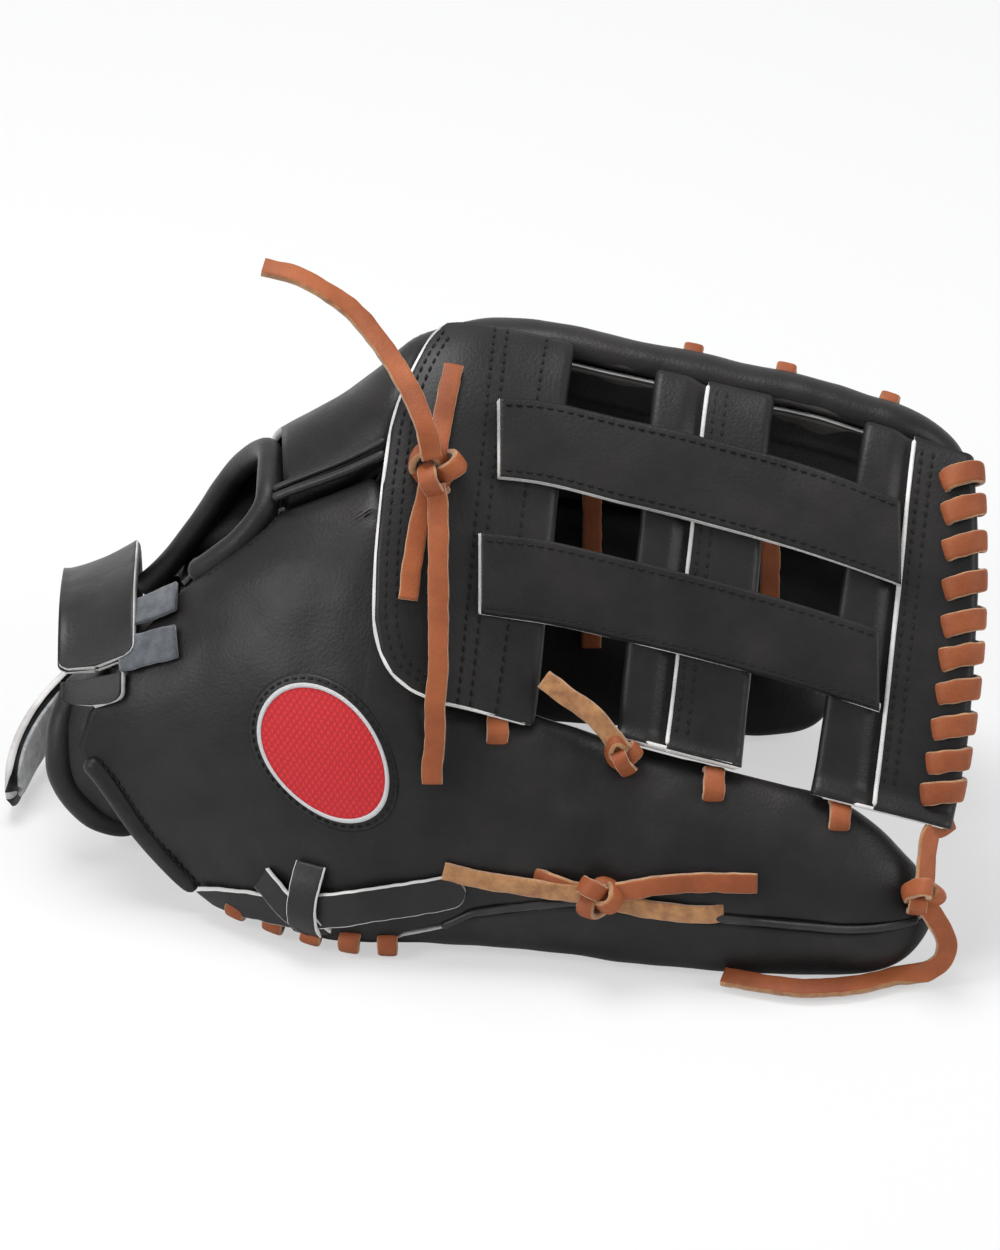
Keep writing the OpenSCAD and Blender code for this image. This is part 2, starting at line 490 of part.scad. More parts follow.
// ---- Free lace ends, each a cord
cord_r = lace_w / 2;
tail_up_route = [[-20, -28, 158], [-22, -24, 167], [-27, -14, 175], [-35, -2, 183], [-44, 8, 190], [-53, 13, 195],
                 [-63, 17, 199], [-74, 19, 201]];
tail_down_route = [[-19, -30, 150], [-18, -35, 142], [-18, -42, 134], [-18, -50, 123], [-18, -57, 112],
                   [-18, -63, 102], [-19, -67, 91], [-19, -70, 80], [-20, -72, 71], [-20, -74, 65]];
top_tail_route = [[137, -92, 31], [141, -93, 25], [144, -94, 18], [143, -94, 11], [138, -93, 6], [128, -93, 4],
                  [115, -98, 4], [99, -100, 4], [85, -97, 4], [73, -93, 4]];
module base_tail_up() color(tan) tube(tail_up_route, cord_r, 8);
module base_tail_down() color(tan) tube(tail_down_route, cord_r, 8);
module top_tail() color(tan) tube(top_tail_route, cord_r, 8);

palm();
thumb_heel();
index_back();
index_front();
middle_back();
middle_front();
ring_back();
ring_front();
pinky_back();
pinky_front();
finger_welts();
pinky_welt();
opening_binding();
wrist_cuff();
heel_pad();
palm_lining();
index_lining();
middle_lining();
ring_lining();
pinky_lining();
pinky_stiffener();
wrist_strap();
strap_anchor();
anchor_legs();
strap_tab();
tab_hook();
heel_lacing();
finger_lacing();
logo_patch();
thumb_loop();
index_lacing();
thumb_back();
thumb_front();
thumb_welt();
thumb_lining();
thumb_stiffener();
web_base();
web_crossbar();
web_top();
strip_upper();
strip_lower();
web_top_lacing();
thumb_edge_lacing();
thumb_tie();
thumb_loop_tail();
base_knot();
crossbar_knot();
top_knot();
base_tail_up();
base_tail_down();
top_tail();
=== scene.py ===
# A baseball fielder's glove with an H web, standing palm down on its thumb and little finger edges.
import math

import bmesh
import bpy
import numpy as np
from mathutils import Matrix, Vector, noise


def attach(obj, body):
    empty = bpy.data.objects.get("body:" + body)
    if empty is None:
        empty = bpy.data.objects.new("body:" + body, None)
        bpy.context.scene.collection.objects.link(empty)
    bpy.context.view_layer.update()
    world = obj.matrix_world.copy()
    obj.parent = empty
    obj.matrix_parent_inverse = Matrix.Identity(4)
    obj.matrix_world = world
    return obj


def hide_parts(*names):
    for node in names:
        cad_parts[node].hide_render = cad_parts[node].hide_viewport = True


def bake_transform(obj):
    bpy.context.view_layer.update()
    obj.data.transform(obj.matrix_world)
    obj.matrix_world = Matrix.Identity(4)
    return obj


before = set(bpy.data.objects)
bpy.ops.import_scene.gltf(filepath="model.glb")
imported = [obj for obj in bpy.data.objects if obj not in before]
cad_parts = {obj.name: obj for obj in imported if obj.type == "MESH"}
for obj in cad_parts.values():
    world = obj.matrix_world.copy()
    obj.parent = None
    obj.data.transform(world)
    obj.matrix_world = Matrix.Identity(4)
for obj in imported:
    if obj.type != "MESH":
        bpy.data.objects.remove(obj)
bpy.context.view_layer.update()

# ---- Camera, floor and light
# A long lens looks down at 32 degrees on the thumb's side.  A wide pale floor runs on into a pale
# backdrop, and three big soft lamps light the black leather from above, from the left and from the right.
camera_tilt = math.radians(32)
camera_range = 4.48
camera = bpy.data.objects.new("camera", bpy.data.cameras.new("camera"))
bpy.context.scene.collection.objects.link(camera)
bpy.context.scene.camera = camera
camera.data.lens = 400
camera.data.sensor_width = 36
camera.data.clip_end = 50
away = Vector((0, -math.cos(camera_tilt), math.sin(camera_tilt)))
look_at = Vector((0.0016, 0, 0.0783))
camera.location = look_at + away * camera_range
camera.rotation_mode = "QUATERNION"
camera.rotation_quaternion = (-away).to_track_quat("-Z", "Y")


def new_material(name):
    m = bpy.data.materials.new(name)
    m.use_nodes = True
    m.node_tree.nodes.clear()
    return m, m.node_tree


def node(tree, kind, **values):
    n = tree.nodes.new(kind)
    for key, value in values.items():
        if key in n.inputs:
            n.inputs[key].default_value = value
        else:
            setattr(n, key, value)
    return n


def wire(tree, *pairs):
    for source, target in pairs:
        tree.links.new(source, target)


def wire_camera_mix(tree, ray, plain, seen_by_camera, output):
    """The plain shader, mixed with the other one by the share that the ray node gives, to the output."""
    both = node(tree, "ShaderNodeMixShader")
    wire(tree, (ray.outputs[0], both.inputs[0]), (plain.outputs[0], both.inputs[1]),
         (seen_by_camera.outputs[0], both.inputs[2]), (both.outputs[0], node(tree, output).inputs["Surface"]))


def add_piece(name, form, finishes):
    """An object made from a finished bmesh, with its materials."""
    mesh = bpy.data.meshes.new(name)
    form.to_mesh(mesh)
    form.free()
    for finish in finishes:
        mesh.materials.append(finish)
    piece = bpy.data.objects.new(name, mesh)
    bpy.context.scene.collection.objects.link(piece)
    return piece


pale = (0.83, 0.83, 0.83, 1)
floor_paint, tree = new_material("pale_floor")
bsdf = node(tree, "ShaderNodeBsdfDiffuse", Color=pale)
glow = node(tree, "ShaderNodeEmission", Color=pale, Strength=1.0)
seen = node(tree, "ShaderNodeLightPath")
glow_share = 0.62
share = node(tree, "ShaderNodeMath", operation="MULTIPLY")
share.inputs[1].default_value = glow_share
wire(tree, (seen.outputs["Is Camera Ray"], share.inputs[0]))
wire_camera_mix(tree, share, bsdf, glow, "ShaderNodeOutputMaterial")
ground_plane = bmesh.new()
bmesh.ops.create_grid(ground_plane, x_segments=1, y_segments=1, size=30)
floor = add_piece("floor", ground_plane, [floor_paint])

world = bpy.data.worlds.new("studio")
bpy.context.scene.world = world
world.use_nodes = True
tree = world.node_tree
tree.nodes.clear()
sky = node(tree, "ShaderNodeBackground", Color=(0.9, 0.92, 0.95, 1), Strength=0.42)
backdrop = node(tree, "ShaderNodeBackground", Color=pale, Strength=1.0)
seen = node(tree, "ShaderNodeLightPath")
seen_or_mirrored = node(tree, "ShaderNodeMath", operation="MAXIMUM")
wire(tree, (seen.outputs["Is Camera Ray"], seen_or_mirrored.inputs[0]),
     (seen.outputs["Is Glossy Ray"], seen_or_mirrored.inputs[1]))
wire_camera_mix(tree, seen_or_mirrored, sky, backdrop, "ShaderNodeOutputWorld")


def soft_lamp(name, place, size, power, colour=(1, 1, 1)):
    data = bpy.data.lights.new(name, "AREA")
    data.shape = "DISK"
    data.size = size
    data.energy = power
    data.color = colour
    lamp = bpy.data.objects.new(name, data)
    bpy.context.scene.collection.objects.link(lamp)
    lamp.location = place
    lamp.rotation_mode = "QUATERNION"
    lamp.rotation_quaternion = (look_at - Vector(place)).to_track_quat("-Z", "Y")


soft_lamp("top_light", (-0.25, 0.25, 1.5), 0.9, 22)
soft_lamp("left_light", (-1.2, -0.7, 0.9), 0.8, 12)
soft_lamp("right_light", (1.3, -0.5, 0.8), 0.7, 8)
bpy.context.scene.view_settings.view_transform = "Standard"

# ---- Hand and thumb shells
# Black steer hide, 2.6 mm thick, cut flat and sewn inside out.  Every shell lies on one form: a place
# is x along the glove, s round its horseshoe section, and h out of the seam surface, in millimetres.
form_start, form_step = -140, 30
form = np.array([
    [(72, 26), (70, 42), (75, 56), (84, 64), (97, 63), (117, 56), (131, 47), (136, 37), (131, 20)],
    [(56, 10), (57, 40), (65, 65), (81, 80), (100, 79), (122, 71), (139, 54), (145, 36), (138, 8)],
    [(34, 5), (42, 45), (54, 78), (76, 106), (102, 113), (132, 101), (152, 76), (157, 41), (145, 4)],
    [(20, 3), (30, 45), (44, 83), (70, 120), (104, 134), (137, 112), (157, 82), (163, 43), (150, 3)],
    [(18, 3), (25, 42), (40, 83), (71, 129), (112, 156), (142, 126), (161, 88), (166, 45), (152, 3)],
    [(14, 3), (19, 41), (34, 77), (66, 130), (113, 163), (140, 129), (158, 89), (163, 45), (150, 3)],
    [(8, 2), (13, 37), (28, 70), (62, 122), (109, 159), (136, 124), (154, 87), (159, 44), (147, 3)],
    [(3, 2), (8, 33), (24, 63), (59, 114), (106, 153), (132, 120), (149, 83), (155, 41), (144, 2)],
    [(1, 2), (5, 29), (21, 56), (56, 107), (102, 148), (127, 115), (143, 79), (148, 38), (139, 2)],
    [(0, 2), (4, 26), (18, 49), (52, 100), (96, 141), (120, 109), (134, 75), (138, 36), (130, 2)],
    [(2, 4), (5, 25), (16, 42), (48, 92), (90, 135), (112, 104), (124, 72), (127, 36), (120, 5)],
], float)
form_place = np.array([-1.6, 84.6, 2.0])
mm = 0.001


def spline_parts(u, last):
    """The four neighbours of u on a row of knots 0 to last, and their weights in a smooth curve."""
    u = np.clip(u, 0, last)
    i = np.minimum(np.floor(u), last - 1)
    t = u - i
    near = np.clip(i[:, None] + np.array([-1, 0, 1, 2]), 0, last).astype(int)
    parts = [-t + 2 * t**2 - t**3, 2 - 5 * t**2 + 3 * t**3, t + 4 * t**2 - 3 * t**3, t**3 - t**2]
    return near, 0.5 * np.stack(parts, 1)


def seam(x, s):
    i, a = spline_parts((x - form_start) / form_step, len(form) - 1)
    j, b = spline_parts(s, form.shape[1] - 1)
    return np.einsum("na,nb,nabk->nk", a, b, form[i[:, :, None], j[:, None, :]])


def at(x, s, h):
    """The point (x, s, h) of the form, in metres in the glove's frame."""
    x, s, h = np.broadcast_arrays(np.asarray(x, float), np.asarray(s, float), np.asarray(h, float))
    shape = x.shape
    x, s, h = x.ravel(), s.ravel(), h.ravel()
    p = seam(x, s)
    d = seam(x, np.minimum(s + 0.08, 8)) - seam(x, np.maximum(s - 0.08, 0))
    d /= np.linalg.norm(d, axis=1)[:, None]
    q = np.stack([x, p[:, 0] - d[:, 1] * h, p[:, 1] + d[:, 0] * h], 1) - form_place
    return (q * mm).reshape(shape + (3,))


def ease(t):
    t = np.clip(t, 0, 1)
    return t * t * (3 - 2 * t)


def mix(a, b, t):
    return a + (b - a) * t


hinge_from = at(-30, 4, 5)
hinge_dir = at(130, 4, 5) - hinge_from
hinge_dir /= np.linalg.norm(hinge_dir)


def flex_x(s, h):
    """Where the leather flexes: x on the surface that the thumb and the web turn along, round the ridge."""
    x = np.full(np.shape(s), -35.0)
    for _ in range(4):
        p = at(x, s, h) - hinge_from
        reach = np.linalg.norm(np.cross(p, hinge_dir), axis=-1) / mm
        x = x + (12 * ease((reach - 80) / 15) - p @ hinge_dir / mm) / hinge_dir[0]
    return x


def sheet_of_leather(name, across, along, place, thick, finishes, body=None, worn=0.0, closed=False):
    """A grid of leather laid by place(u, v), thickened inwards, with its cut rim in the last finish."""
    sheet = bmesh.new()
    bmesh.ops.create_grid(sheet, x_segments=across, y_segments=along, size=0.5)
    uv = np.array([v.co[:2] for v in sheet.verts]) + 0.5
    spots = place(uv[:, 0], uv[:, 1])
    layer = sheet.loops.layers.uv.new("cut")
    for face in sheet.faces:
        face.smooth = True
        for loop in face.loops:
            loop[layer].uv = loop.vert.co[0] + 0.5, loop.vert.co[1] + 0.5
    for v, spot in zip(sheet.verts, spots):
        v.co = spot
    if closed:
        bmesh.ops.remove_doubles(sheet, verts=sheet.verts, dist=0.05 * mm)
    if worn:
        sheet.normal_update()
        moves = [v.normal * worn * mm * (noise.noise(v.co * 38) + 0.5 * noise.noise(v.co * 95))
                 for v in sheet.verts]
        for v, move in zip(sheet.verts, moves):
            v.co += move
    piece = add_piece(name, sheet, finishes)
    if thick:
        wall = piece.modifiers.new("thickness", "SOLIDIFY")
        wall.thickness = thick * mm
        wall.offset = -1
        wall.use_even_offset = False
        wall.material_offset_rim = len(finishes) - 1
    if body:
        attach(piece, body)
    return piece


def tone_ramp(tree, low, dark, high, light):
    """A blend from the dark tone to the light one, between two places of a texture's value."""
    tone = node(tree, "ShaderNodeValToRGB")
    for stop, place, colour in zip(tone.color_ramp.elements, (low, high), (dark, light)):
        stop.position = place
        stop.color = (*colour, 1)
    return tone


def wire_finish(tree, tone, height, bump, shader):
    """Colour, relief and shader of a finish, wired through to its output."""
    out = node(tree, "ShaderNodeOutputMaterial")
    wire(tree, (tone.outputs["Color"], shader.inputs["Base Color"]),
         (height.outputs[0], bump.inputs["Height"]), (bump.outputs[0], shader.inputs["Normal"]),
         (shader.outputs[0], out.inputs["Surface"]))


def hide_finish(name, dark, worn_tone, rough, grain=900, grain_height=0.00012, coat=0.0):
    """Smooth oiled leather: pebbled grain and pores in the bump, and a worn, browner tone in patches."""
    material, tree = new_material(name)
    where = node(tree, "ShaderNodeTexCoord")
    cells = node(tree, "ShaderNodeTexVoronoi", Scale=grain, Randomness=0.95)
    pores = node(tree, "ShaderNodeTexNoise", Scale=grain * 2.6, Detail=3.0)
    patches = node(tree, "ShaderNodeTexNoise", Scale=42.0, Detail=6.0, Roughness=0.62)
    creases = node(tree, "ShaderNodeTexNoise", Scale=120.0, Detail=8.0, Roughness=0.7, Distortion=0.8)
    for texture in (cells, pores, patches, creases):
        wire(tree, (where.outputs["Object"], texture.inputs["Vector"]))
    tone = tone_ramp(tree, 0.38, dark, 0.74, worn_tone)
    gloss = node(tree, "ShaderNodeMapRange")
    gloss.inputs["To Min"].default_value = rough - 0.07
    gloss.inputs["To Max"].default_value = rough + 0.1
    heights = node(tree, "ShaderNodeMath", operation="MULTIPLY_ADD")
    heights.inputs[1].default_value = 0.35
    total = node(tree, "ShaderNodeMath", operation="MULTIPLY_ADD")
    total.inputs[1].default_value = 1.6
    bump = node(tree, "ShaderNodeBump", Strength=0.55, Distance=grain_height)
    shader = node(tree, "ShaderNodeBsdfPrincipled")
    shader.inputs["Coat Weight"].default_value = coat
    shader.inputs["Coat Roughness"].default_value = 0.35
    shader.inputs["Specular IOR Level"].default_value = 0.22
    wire(tree, (patches.outputs["Fac"], tone.inputs[0]), (creases.outputs["Fac"], gloss.inputs["Value"]),
         (gloss.outputs["Result"], shader.inputs["Roughness"]), (pores.outputs["Fac"], heights.inputs[0]),
         (cells.outputs["Distance"], heights.inputs[2]), (creases.outputs["Fac"], total.inputs[0]),
         (heights.outputs[0], total.inputs[2]))
    wire_finish(tree, tone, total, bump, shader)
    return material


black_hide = hide_finish("black_hide", (0.005, 0.0048, 0.005), (0.015, 0.013, 0.0125), 0.43, coat=0.03)
raw_edge = hide_finish("raw_edge", (0.42, 0.41, 0.4), (0.78, 0.77, 0.75), 0.85, grain=1500)
stall_tip = [139, 150, 150, 138, 108]
tip_round = [36, 26, 26, 26, 30]
cut_hide = [black_hide, raw_edge]
stall_half, hand_half, leather = 13, 17, 2.6
seam_gap = 0.9
stall_power, root_power = 2.4, 3.4
thumb_low, thumb_high, root_high = 0.02, 2.02, 3.4


def half_thick(x):
    return mix(hand_half, stall_half, ease((x + 30) / 50))


def stall_skin(x, angle, tip, lo, hi, half, power, start, gap=seam_gap):
    """A stall's section: angle 0 to 180 over its back, and on to 360 under its palm side."""
    f = np.sqrt(np.maximum(0.008, 1 - (np.maximum(x - start, 0) / (tip - start)) ** 2))
    c, w = np.cos(np.radians(angle)), np.sin(np.radians(angle))
    q = -np.sign(c) * np.abs(c) ** (2 / power)
    b = half * f**0.8
    h = np.sign(w) * (gap + np.maximum(0.1, b - gap) * np.abs(w) ** (2 / power))
    return at(x, (lo + hi) / 2 + q * (hi - lo) / 2 * f, h)


def to_tip(rear, tip, u, crowding):
    """Places from the rear edge to the tip, closer together towards the tip."""
    return rear + (tip - rear) * (1 - (1 - u) ** crowding)


root_rear = [(-1, -97), (-0.65, -118), (-0.24, -136), (0.18, -129), (0.41, -124), (0.56, -117), (0.7, -109),
             (0.76, -105), (0.79, -94), (0.82, -82), (0.88, -75), (1, -68)]
wrap_cut = [(-45, 0.02), (-31, 38), (-10, 62), (30, 76), (100, 80), (139, 80)]


def knots(x, table):
    table = np.array(table, float)
    return np.interp(x, table[:, 0], table[:, 1])


def thumb_section(x):
    """How the wide root of the thumb narrows into its stall, under the web's base."""
    t = ease((x + 42) / 26)
    return thumb_low, mix(root_high, thumb_high, t), mix(root_power, stall_power, t)


def root_s(q):
    """The place s over the root of the thumb, from -1 at its outer seam to 1 at the ridge."""
    return mix(thumb_low, root_high, (q + 1) / 2)


def thumb_outside(u, v):
    side = 180 * v
    c = np.cos(np.radians(side))
    x = to_tip(knots(-np.sign(c) * np.abs(c) ** (2 / root_power), root_rear), stall_tip[0], u, 1.25)
    angle = mix(knots(x, wrap_cut) + 2.2, 179.99, v)
    lo, hi, power = thumb_section(x)
    return stall_skin(x, angle, stall_tip[0], lo, hi, half_thick(x), power, stall_tip[0] - tip_round[0])


def thumb_inside(u, v):
    start = 180.01 + 179.98 * v
    inner = flex_x(1.02 + np.cos(np.radians(start)), -13 * np.abs(np.sin(np.radians(start))))
    x = to_tip(mix(inner, -45.0, ease((v - 0.62) / 0.2)), stall_tip[0], u, 1.25)
    angle = mix(180.01, 360 + knots(x, wrap_cut) - 2.2, v)
    lo, hi, power = thumb_section(x)
    outer = ease((angle - 340) / 20)
    return stall_skin(x, angle, stall_tip[0], lo, mix(thumb_high, hi, outer), half_thick(x),
                      mix(stall_power, power, outer), stall_tip[0] - tip_round[0], gap=0.0)


thumb_shell = sheet_of_leather("thumb_shell", 190, 84, thumb_outside, leather, cut_hide, worn=0.9)
thumb_palm_side = sheet_of_leather("thumb_palm_side", 130, 84, thumb_inside, leather, cut_hide, worn=0.7)
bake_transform(thumb_shell)
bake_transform(thumb_palm_side)
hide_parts("thumb_heel", "thumb_back")
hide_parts("thumb_front")

finger_names = ["thumb", "index", "middle", "ring", "pinky"]
finger_high = [2.02, 4.97, 5.97, 6.97, 7.98]
back_rear = [(3.4, -69), (4.5, -71), (5, -77), (5.5, -88), (6, -104), (6.5, -115), (7, -121), (8, -124)]
knuckle_x = -20


def low_edge(k, x):
    """The place s where stall k begins; the index finger's moves aside for the web."""
    if k == 0:
        return thumb_low
    return mix(3.43, 4.04, ease((x + 37) / 17)) if k == 1 else 3.03 + k


def finger_half(k, side):
    def place(u, v):
        c = np.cos(np.pi * v)
        s = mix(low_edge(k, -70), finger_high[k], (1 - np.sign(c) * np.abs(c) ** (2 / stall_power)) / 2)
        x = to_tip(knots(s, back_rear) if side > 0 else knuckle_x, stall_tip[k], u, 1.35)
        angle = mix(0.01, 179.99, v) + (0 if side > 0 else 180)
        return stall_skin(x, angle, stall_tip[k], low_edge(k, x), finger_high[k], half_thick(x), stall_power,
                          stall_tip[k] - tip_round[k])
    return place


for k in (1, 2, 3, 4):
    for side, part in ((1, "back"), (-1, "front")):
        shell = sheet_of_leather(f"{finger_names[k]}_{part}_shell", 130, 42, finger_half(k, side), leather,
                                 cut_hide, "hand", worn=0.7)
        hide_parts(f"{finger_names[k]}_{part}")

palm_low, palm_high = 0.1, 7.9
palm_rear = [(0, -95), (0.12, -110), (0.3, -121), (0.5, -124), (0.7, -122), (0.9, -112), (1, -104)]


def palm_at(x, v, level):
    s = mix(palm_low, palm_high, v)
    rim = (1 - np.abs(2 * v - 1) ** 8) ** (1 / 6)
    deep = at(x, s, -half_thick(x) * rim + level)
    rise = (12 * np.sin(np.pi * v) + level) * mm
    flat = mix(at(x, palm_low, 0), at(x, palm_high, 0), v[:, None]) + rise[:, None] * np.array([0, 0, 1])
    return mix(deep, flat, (1 - ease((x + 100) / 78))[:, None])


def palm_leather(u, v):
    s = mix(palm_low, palm_high, v)
    front = np.where(s < 4, flex_x(s, np.full_like(s, -hand_half)) - 1.5,
                     mix(-31.5, knuckle_x - 0.6, ease((s - 4) / 0.15)))
    return palm_at(mix(knots(v, palm_rear), front, u), v, leather)


palm_shell = sheet_of_leather("palm_shell", 60, 150, palm_leather, leather, cut_hide, "hand", worn=0.8)
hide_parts("palm")


# ---- Web: three cross panels, each a folded loop of black hide with its cut edges left raw and pale,
# and two long strips of doubled hide laid over them, all run with black thread. The panels turn with
# the thumb and are laced to it.
web_low, web_high, panel = 2.12, 3.95, 5.0
crossbar_low, top_low, base_low = 2.06, 2.0, 1.965
web_unit, strip_wide = 66, 25


def web_h(x):
    return mix(hand_half + 1.2, 3.0, ease((x + 37) / 60))


base_cut = np.array([(base_low, -12), (1.98, -20), (2.03, -28), (2.12, -34), (2.25, -37.8), (2.43, -39.8),
                     (2.76, -39.3), (3.2, -37.1), (3.5, -34.6), (3.68, -31), (3.83, -26), (3.94, -21.5),
                     (4, -17)])


def base_rear(s):
    """The base panel's rear edge, x over s: a round lower corner and a slanted upper one."""
    return np.interp(s, base_cut[:, 0], base_cut[:, 1])


def web_front(v):
    return mix(144, 152, v) + 4 * np.sin(np.pi * v)


def slanted(x_low, x_high):
    """A straight line over the web's width, as x over its share v."""
    return lambda v: mix(x_low, x_high, v)


def edge_lift(s):
    """How far a panel's lower end rises to pass over the thumb's edge."""
    return 3.4 * ease((2.15 - s) / 0.13)


def folded_loop(left, seam, right, low):
    """A strap folded on itself: from its raw flap at the seam, round both folds, and in under the flap."""
    def place(u, v):
        s = mix(low, web_high, v)
        r = panel / 2
        first_turn, second_turn = np.pi * (u - 0.3) / 0.12, np.pi * (u - 0.7) / 0.12
        legs = [u < 0.3, u < 0.42, u < 0.7, u < 0.82]
        inner_left, inner_right = left(v) + r, right(v) - r
        x = np.select(legs, [mix(seam(v), inner_right, u / 0.3), inner_right + r * np.sin(first_turn),
                             mix(inner_right, inner_left, (u - 0.42) / 0.28),
                             inner_left - r * np.sin(second_turn)],
                      mix(inner_left, seam(v) + 7, (u - 0.82) / 0.18))
        h = np.select(legs, [panel + 0 * u, r + r * np.cos(first_turn), 0 * u, r - r * np.cos(second_turn)],
                      panel - (loop_ply + 0.15) * ease((x - seam(v) + 7) / 6))
        return at(x, s, web_h(x) + h + edge_lift(s))
    return place


def base_fold(u, v):
    """The base panel: two plies with both cut edges at the rear and one fold at the front."""
    s = mix(base_low, 4, v)
    rear, front, r = base_rear(s), mix(11, 24, v), panel / 2
    turn = np.pi * (u - 0.45) / 0.1
    x = np.select([u < 0.45, u < 0.55], [mix(rear, front - r, u / 0.45), front - r + r * np.sin(turn)],
                  mix(front - r, rear, (u - 0.55) / 0.45))
    h = np.select([u < 0.45, u < 0.55], [panel + 0 * u, r + r * np.cos(turn)], 0 * u)
    return at(x, s, web_h(x) + h)


loop_ply = 2.1
crossbar_seam, top_seam = slanted(53, 67), slanted(119, 133)
web_base_fold = sheet_of_leather("web_base_fold", 90, 90, base_fold, 2.3, cut_hide, worn=0.35)
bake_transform(web_base_fold)
crossbar_loop = folded_loop(slanted(37, 50), crossbar_seam, slanted(77, 88), crossbar_low)
crossbar_fold = sheet_of_leather("web_crossbar_fold", 84, 60, crossbar_loop, loop_ply, cut_hide, "thumb_web",
                                 worn=0.35)
top_loop = folded_loop(slanted(99, 117), top_seam, web_front, top_low)
top_fold = sheet_of_leather("web_top_fold", 84, 60, top_loop, loop_ply, cut_hide, "thumb_web", worn=0.35)
for piece, part in ((web_base_fold, "web_base"), (crossbar_fold, "web_crossbar"), (top_fold, "web_top")):
    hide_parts(part)

strip_half = strip_wide / 2 / web_unit
strip_bow = 0.05
strip_runs = {"upper": (0, 128, 3.35, 3.36), "lower": (-6, 121, 2.68, 2.73)}


def strip_line(name, x):
    """The middle of a long strip as s over x: it bows a little towards the stalls."""
    x_from, x_to, s_from, s_to = strip_runs[name]
    t = np.clip((x - x_from) / (x_to - x_from), 0, 1)
    return mix(s_from, s_to, t) + strip_bow * np.sin(np.pi * t)


def strip_ply(name, x_from, x_to, bottom, fold):
    """One ply of a long strip; with fold, its lower edge is rolled in under it."""
    def place(u, v):
        x = mix(x_from, x_to, u)
        across = (2 * v - 1) * strip_half
        h = bottom + 0.25 * np.sin(9 * u) * np.sin(np.pi * v)
        if fold:
            roll = ease((0.1 - v) / 0.1)
            h = h - 2.2 * roll**2
            across = np.maximum(across, -strip_half * (0.96 + 0.04 * roll))
        return at(x, strip_line(name, x) + across, web_h(x) + panel + h)
    return place


for name, (x_from, x_to, _, _) in strip_runs.items():
    upper_ply = strip_ply(name, x_from, x_to, 4.3, name == "lower")
    lower_ply = strip_ply(name, x_from - 0.6, x_to, 2.2, False)
    over = sheet_of_leather(f"strip_{name}_over", 110, 26, upper_ply, 2.0, cut_hide, "thumb_web", worn=0.35)
    under = sheet_of_leather(f"strip_{name}_under", 110, 26, lower_ply, 1.9, [raw_edge, raw_edge],
                             "thumb_web", worn=0.3)
    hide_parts(f"strip_{name}")


# ---- Laces: long strips of rust-tan rawhide cut from a side of leather, smooth on the grain face and
# ochre and furry on the flesh face and the cut sides. They tie the web to the thumb and the stalls to
# one another, so some turn with the thumb and some stay with the hand.
rust_grain = hide_finish("rust_grain", (0.2, 0.052, 0.018), (0.34, 0.1, 0.036), 0.52, grain=1300,
                         grain_height=0.00014)


def suede_finish(name, dark, light):
    """The flesh side of a hide: no gloss, short nap and loose fibres."""
    material, tree = new_material(name)
    where = node(tree, "ShaderNodeTexCoord")
    nap = node(tree, "ShaderNodeTexNoise", Scale=1500.0, Detail=6.0, Roughness=0.75)
    cloud = node(tree, "ShaderNodeTexNoise", Scale=220.0, Detail=5.0, Roughness=0.65)
    tone = tone_ramp(tree, 0.34, dark, 0.7, light)
    heights = node(tree, "ShaderNodeMath", operation="MULTIPLY_ADD")
    heights.inputs[1].default_value = 0.7
    bump = node(tree, "ShaderNodeBump", Strength=0.9, Distance=0.00035)
    shader = node(tree, "ShaderNodeBsdfPrincipled", Roughness=0.93)
    shader.inputs["Sheen Weight"].default_value = 0.35
    shader.inputs["Sheen Roughness"].default_value = 0.6
    for texture in (nap, cloud):
        wire(tree, (where.outputs["Object"], texture.inputs["Vector"]))
    wire(tree, (nap.outputs["Fac"], heights.inputs[0]), (cloud.outputs["Fac"], heights.inputs[2]),
         (cloud.outputs["Fac"], tone.inputs[0]))
    wire_finish(tree, tone, heights, bump, shader)
    return material


rust_suede = suede_finish("rust_suede", (0.2, 0.075, 0.02), (0.42, 0.2, 0.062))
lace_wide, lace_thick = 6.4, 2.6


def smooth_run(points, count):
    """A smooth curve through the points, as count evenly spaced places; the points may carry normals too."""
    points = np.array(points, float)
    ends = np.vstack([2 * points[0] - points[1], points, 2 * points[-1] - points[-2]])
    fine = []
    for i in range(len(points) - 1):
        a, b, c, d = ends[i:i + 4]
        t = np.linspace(0, 1, 24, endpoint=False)[:, None]
        fine.append(0.5 * (2 * b + (c - a) * t + (2 * a - 5 * b + 4 * c - d) * t**2
                           + (3 * b - a - 3 * c + d) * t**3))
    fine = np.vstack(fine + [points[-1:]])
    run = np.concatenate([[0], np.cumsum(np.linalg.norm(np.diff(fine[:, :3], axis=0), axis=1))])
    spots = np.linspace(0, run[-1], count)
    return np.stack([np.interp(spots, run, fine[:, i]) for i in range(fine.shape[1])], axis=1), run[-1]


